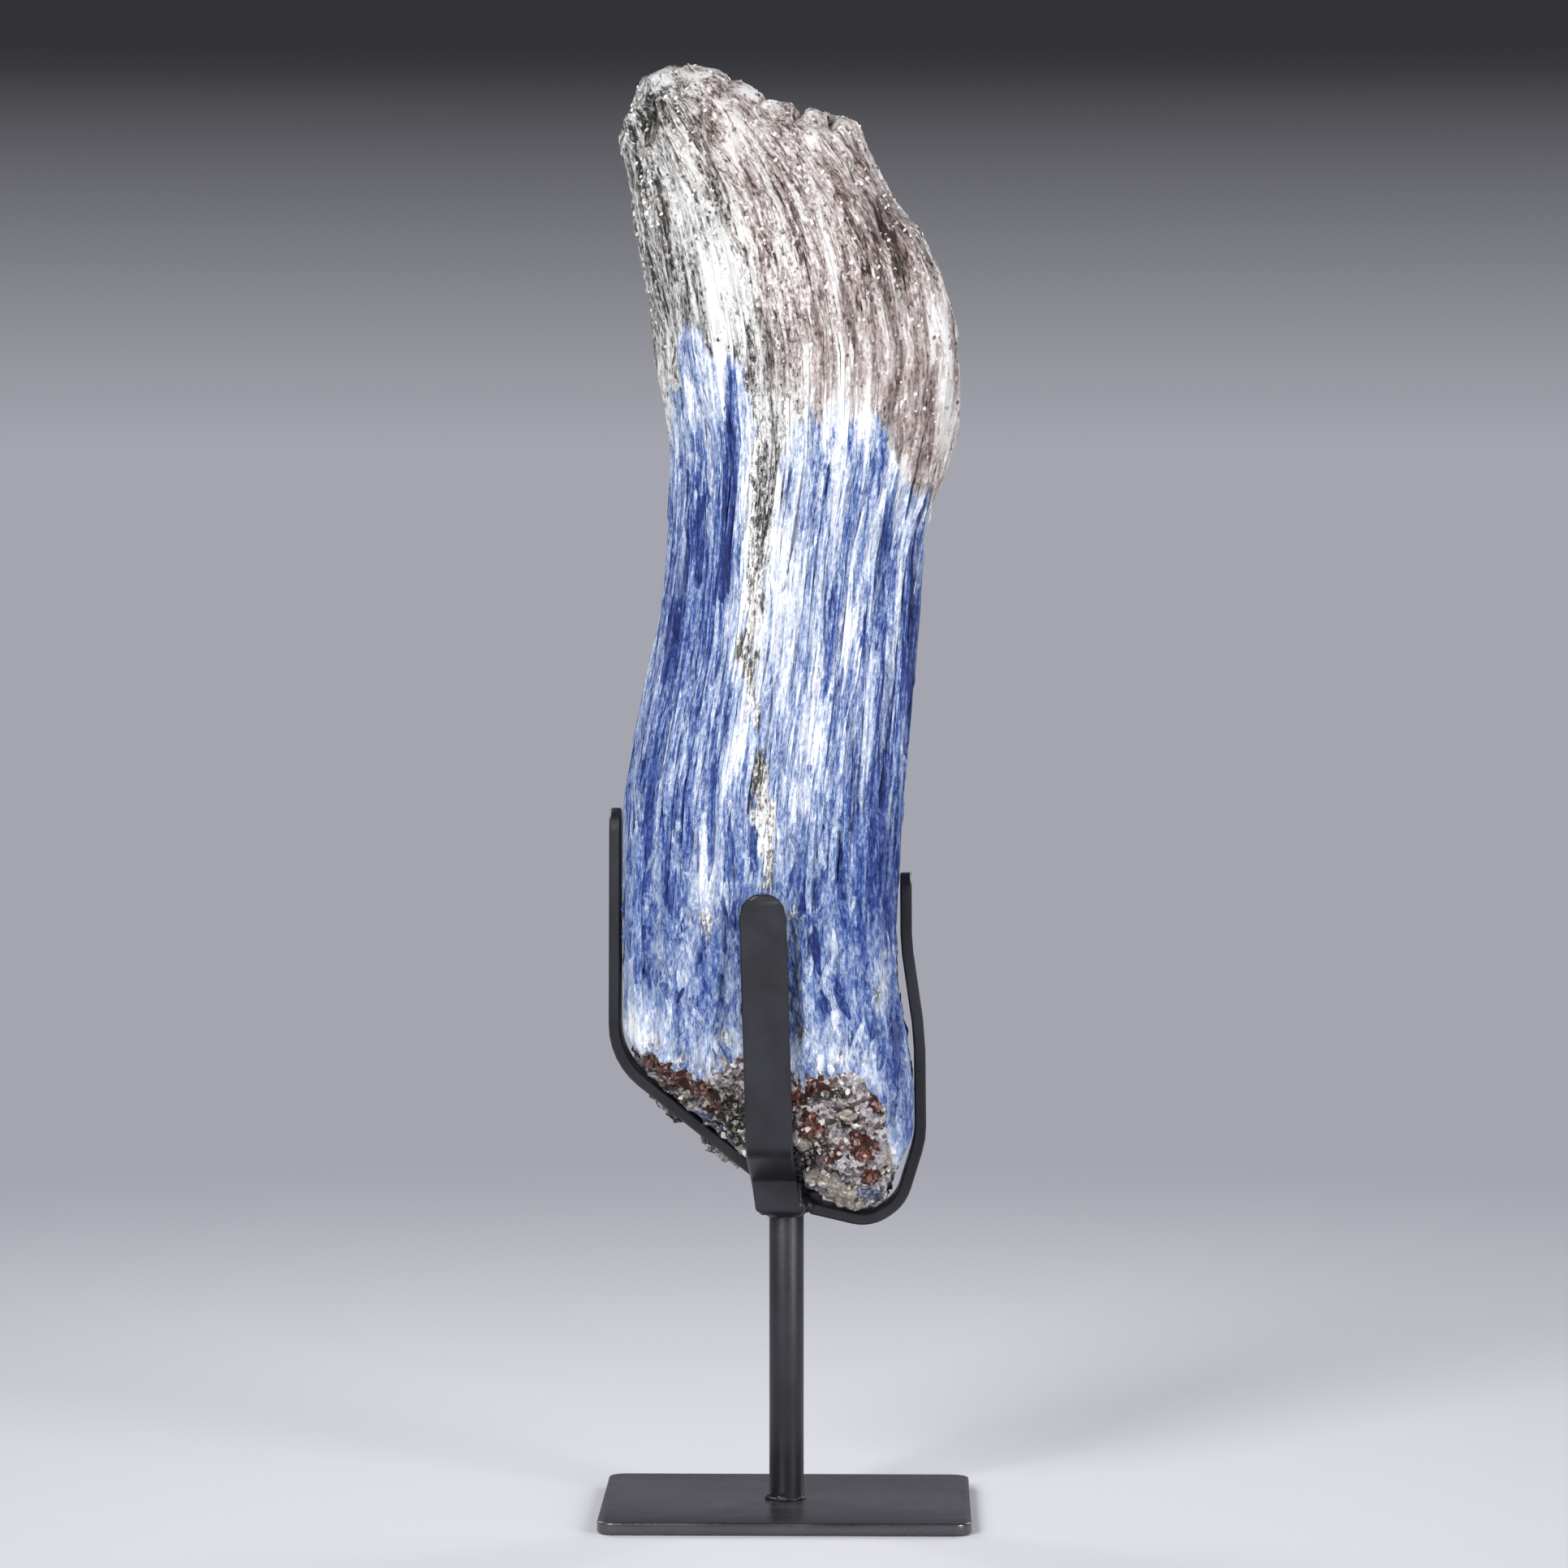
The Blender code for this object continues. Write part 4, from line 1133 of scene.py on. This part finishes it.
def weld_bead(name, lumps, blocks=()):
    """Fuses rounded lumps and blocks, placed in mm, into one bead."""
    parts = []
    for place, radius in lumps:
        deselect()
        bpy.ops.mesh.primitive_uv_sphere_add(
            segments=16, ring_count=10, radius=radius * MM, location=[c * MM for c in place])
        parts.append(bpy.context.object)
    for place, size in blocks:
        deselect()
        bpy.ops.mesh.primitive_cube_add(size=1, location=[c * MM for c in place])
        bpy.context.object.scale = [c * MM for c in size]
        settle(bpy.context.object)
        parts.append(bpy.context.object)
    deselect()
    for part in parts:
        part.select_set(True)
    bpy.context.view_layer.objects.active = parts[0]
    bpy.ops.object.join()
    bead = bpy.context.object
    bead.name = name
    bead.data.name = name
    settle(bead)
    remesh = bead.modifiers.new("fuse", "REMESH")
    remesh.mode = "VOXEL"
    remesh.voxel_size = WELD_VOXEL
    smooth = bead.modifiers.new("soften", "SMOOTH")
    smooth.factor = 0.6
    smooth.iterations = 14
    apply_modifiers(bead)
    bpy.ops.object.shade_smooth()
    return bead


class SPECIMEN_OT_welds(bpy.types.Operator):
    """Run weld beads round the post's head and foot"""

    bl_idname = "specimen.welds"
    bl_label = "Welds"

    def execute(self, context):
        rng = random.Random(5)
        paint = steel_material("black_weld_paint", context.scene.specimen_stand)
        head = []
        for index in range(22):
            angle = index / 22 * 2 * math.pi
            x, y = math.cos(angle), math.sin(angle)
            left = 0.8 if x < 0 else 0
            head += [((5.0 * x, 5.0 * y, 84.6), 1.7), ((4.1 * x - left, 4.1 * y, 82.6), 1.15),
                     ((3.6 * x - 0.6, 3.6 * y, 88.0), 2.4)]
        for k in range(8):
            across = -6.2 + 1.45 * k
            head += [((across, -8.4, 84.9 + rng.uniform(-0.15, 0.15)), 1.55), ((across, -5.4, 84.2), 1.7),
                     ((across, 8.0, 84.9), 1.5), ((across, 5.4, 84.2), 1.7)]
        for k in range(9):
            depth = -6.0 + 1.5 * k
            head += [((6.2, depth, 85.2 + rng.uniform(-0.2, 0.2)), 1.75), ((4.6, depth, 86.4), 2.2),
                     ((-5.2, depth, 90.4), 1.9)]
        head += [((4.6, -9.2 + 0.7 * k, 85.6 + 0.5 * k), 1.2) for k in range(5)]
        foot = []
        for index in range(30):
            angle = index / 30 * 2 * math.pi
            foot.append(((4.9 * math.cos(angle), 4.9 * math.sin(angle), 3.55 + rng.uniform(-0.1, 0.15)),
                         rng.uniform(0.55, 0.75)))
        foot += [((-1.6, -5.2, 3.9), 1.1), ((-0.4, -5.4, 3.8), 1.0), ((-5.4, -1.2, 3.7), 0.9)]
        core = (((-1.9, -7.6, 88.2), (12.8, 4.0, 8.4)), ((-0.6, 0, 87.6), (11.6, 12.6, 6.4)),
                ((6.2, 0, 84.9), (5.0, 12.5, 3.0)), ((7.6, 0, 87.0), (4.6, 10.0, 4.6)),
                ((-1.9, 7.6, 88.2), (12.8, 4.0, 8.4)))
        finish_piece(weld_bead("head_weld", head, core), paint, STEEL_SLOT)
        finish_piece(weld_bead("foot_weld", foot), paint, STEEL_SLOT)
        return {"FINISHED"}


def soft_lamp(name, place, aim, size, power):
    """Adds an area lamp that faces its aim."""
    lamp = bpy.data.lights.new(name, "AREA")
    lamp.shape = "RECTANGLE"
    lamp.size, lamp.size_y = size
    lamp.energy = power
    holder = bpy.data.objects.new(name, lamp)
    holder.location = place
    holder.rotation_euler = (Vector(aim) - Vector(place)).to_track_quat("-Z", "Y").to_euler()
    bpy.context.scene.collection.objects.link(holder)


class SPECIMEN_OT_studio(bpy.types.Operator):
    """Set up the floor, the soft lamps and the camera"""

    bl_idname = "specimen.studio"
    bl_label = "Studio"

    def execute(self, context):
        look = context.scene.specimen_studio
        deselect()
        bpy.ops.mesh.primitive_circle_add(
            vertices=96, radius=FLOOR_RADIUS, fill_type="NGON", location=(0, 0, FLOOR_LEVEL))
        floor = bpy.context.object
        floor.name = "studio_floor"
        settle(floor)
        paint = Paint.material("floor_paper")
        place = paint.place()
        tooth = paint.noise(place, 60.0, 4.0)
        distance = paint.node("ShaderNodeVectorMath", {"operation": "LENGTH"}, {0: place}, "Value")
        far = distance.between(0.05, 0.85)
        paper = paint.mix(tooth * 0.06, look.floor_colour, (0.8, 0.8, 0.82, 1.0))
        paint.set(Base_Color=paint.mix(far, paper, BLACK))
        surround = [c * look.sky_strength for c in look.sky_colour[:3]] + [1.0]
        paint.set(Emission_Color=paint.mix(far, BLACK, surround))
        paint.set(Emission_Strength=1.0, Specular_IOR_Level=0.0, Roughness=0.6)
        floor.data.materials.append(paint.owner)

        # Upwards from the horizon the surround is pale, dim, pale again in a band, and dim overhead
        sky = Paint(bpy.data.worlds.new("soft_surround"), "Background")
        pale = look.sky_colour[:3]
        dim = [c * 0.09 for c in pale]
        band = [c * 0.85 for c in pale]
        ahead = sky.node("ShaderNodeTexCoord", output="Generated")
        height = sky.node("ShaderNodeSeparateXYZ", None, {0: ahead}, "Z")
        sky.set(Color=sky.ramp(height, (
            (0.004, pale), (0.072, dim), (0.10, dim), (0.14, band), (0.30, band), (0.45, dim))))
        sky.set(Strength=look.sky_strength)
        context.scene.world = sky.owner
        back_power = look.fill_power * BACK_LAMP_SHARE
        soft_lamp("key", (-0.75, -1.25, 0.95), LAMP_AIM, (0.55, 0.9), look.key_power)
        soft_lamp("fill", (1.05, -1.0, 0.55), LAMP_AIM, (0.45, 0.9), look.fill_power)
        soft_lamp("back_left", (-0.9, 0.9, 0.9), BACK_LAMP_AIM, (0.5, 0.8), back_power)
        soft_lamp("back_right", (0.9, 0.9, 0.8), BACK_LAMP_AIM, (0.5, 0.8), back_power)

        camera = bpy.data.cameras.new("photo_view")
        camera.sensor_width = SENSOR
        camera.lens = LENS
        camera.clip_end = 60.0
        holder = bpy.data.objects.new("photo_view", camera)
        turn, dip = math.radians(CAMERA_TURN), math.radians(CAMERA_DIP)
        away = look.camera_distance
        holder.location = (CAMERA_X + math.sin(turn) * away, -math.cos(turn) * away, look.camera_height)
        ahead = Vector((-math.sin(turn) * math.cos(dip), math.cos(turn) * math.cos(dip), -math.sin(dip)))
        holder.rotation_euler = ahead.to_track_quat("-Z", "Y").to_euler()
        context.scene.collection.objects.link(holder)
        context.scene.camera = holder
        context.scene.view_settings.view_transform = "Standard"
        return {"FINISHED"}


class SPECIMEN_PT_panel(bpy.types.Panel):
    """Lists the steps that build the specimen"""

    bl_idname = "SPECIMEN_PT_panel"
    bl_label = "Kyanite specimen"
    bl_space_type = "VIEW_3D"
    bl_region_type = "UI"
    bl_category = "Specimen"

    def draw(self, context):
        for step in STEPS:
            self.layout.operator(step.bl_idname)


STEPS = (
    SPECIMEN_OT_studio, SPECIMEN_OT_stone, SPECIMEN_OT_blades, SPECIMEN_OT_foot, SPECIMEN_OT_flakes,
    SPECIMEN_OT_bars, SPECIMEN_OT_post, SPECIMEN_OT_base, SPECIMEN_OT_welds,
)
SETTINGS = (("specimen_stone", StoneLook), ("specimen_stand", StandLook), ("specimen_studio", StudioLook))


def register():
    for name, group in SETTINGS:
        bpy.utils.register_class(group)
        setattr(bpy.types.Scene, name, bpy.props.PointerProperty(type=group))
    for item in STEPS + (SPECIMEN_PT_panel,):
        bpy.utils.register_class(item)


def unregister():
    for item in reversed(STEPS + (SPECIMEN_PT_panel,)):
        bpy.utils.unregister_class(item)
    for name, group in reversed(SETTINGS):
        delattr(bpy.types.Scene, name)
        bpy.utils.unregister_class(group)


def main():
    register()
    for step in STEPS:
        group, action = step.bl_idname.split(".")
        getattr(getattr(bpy.ops, group), action)()


if __name__ == "__main__":
    main()
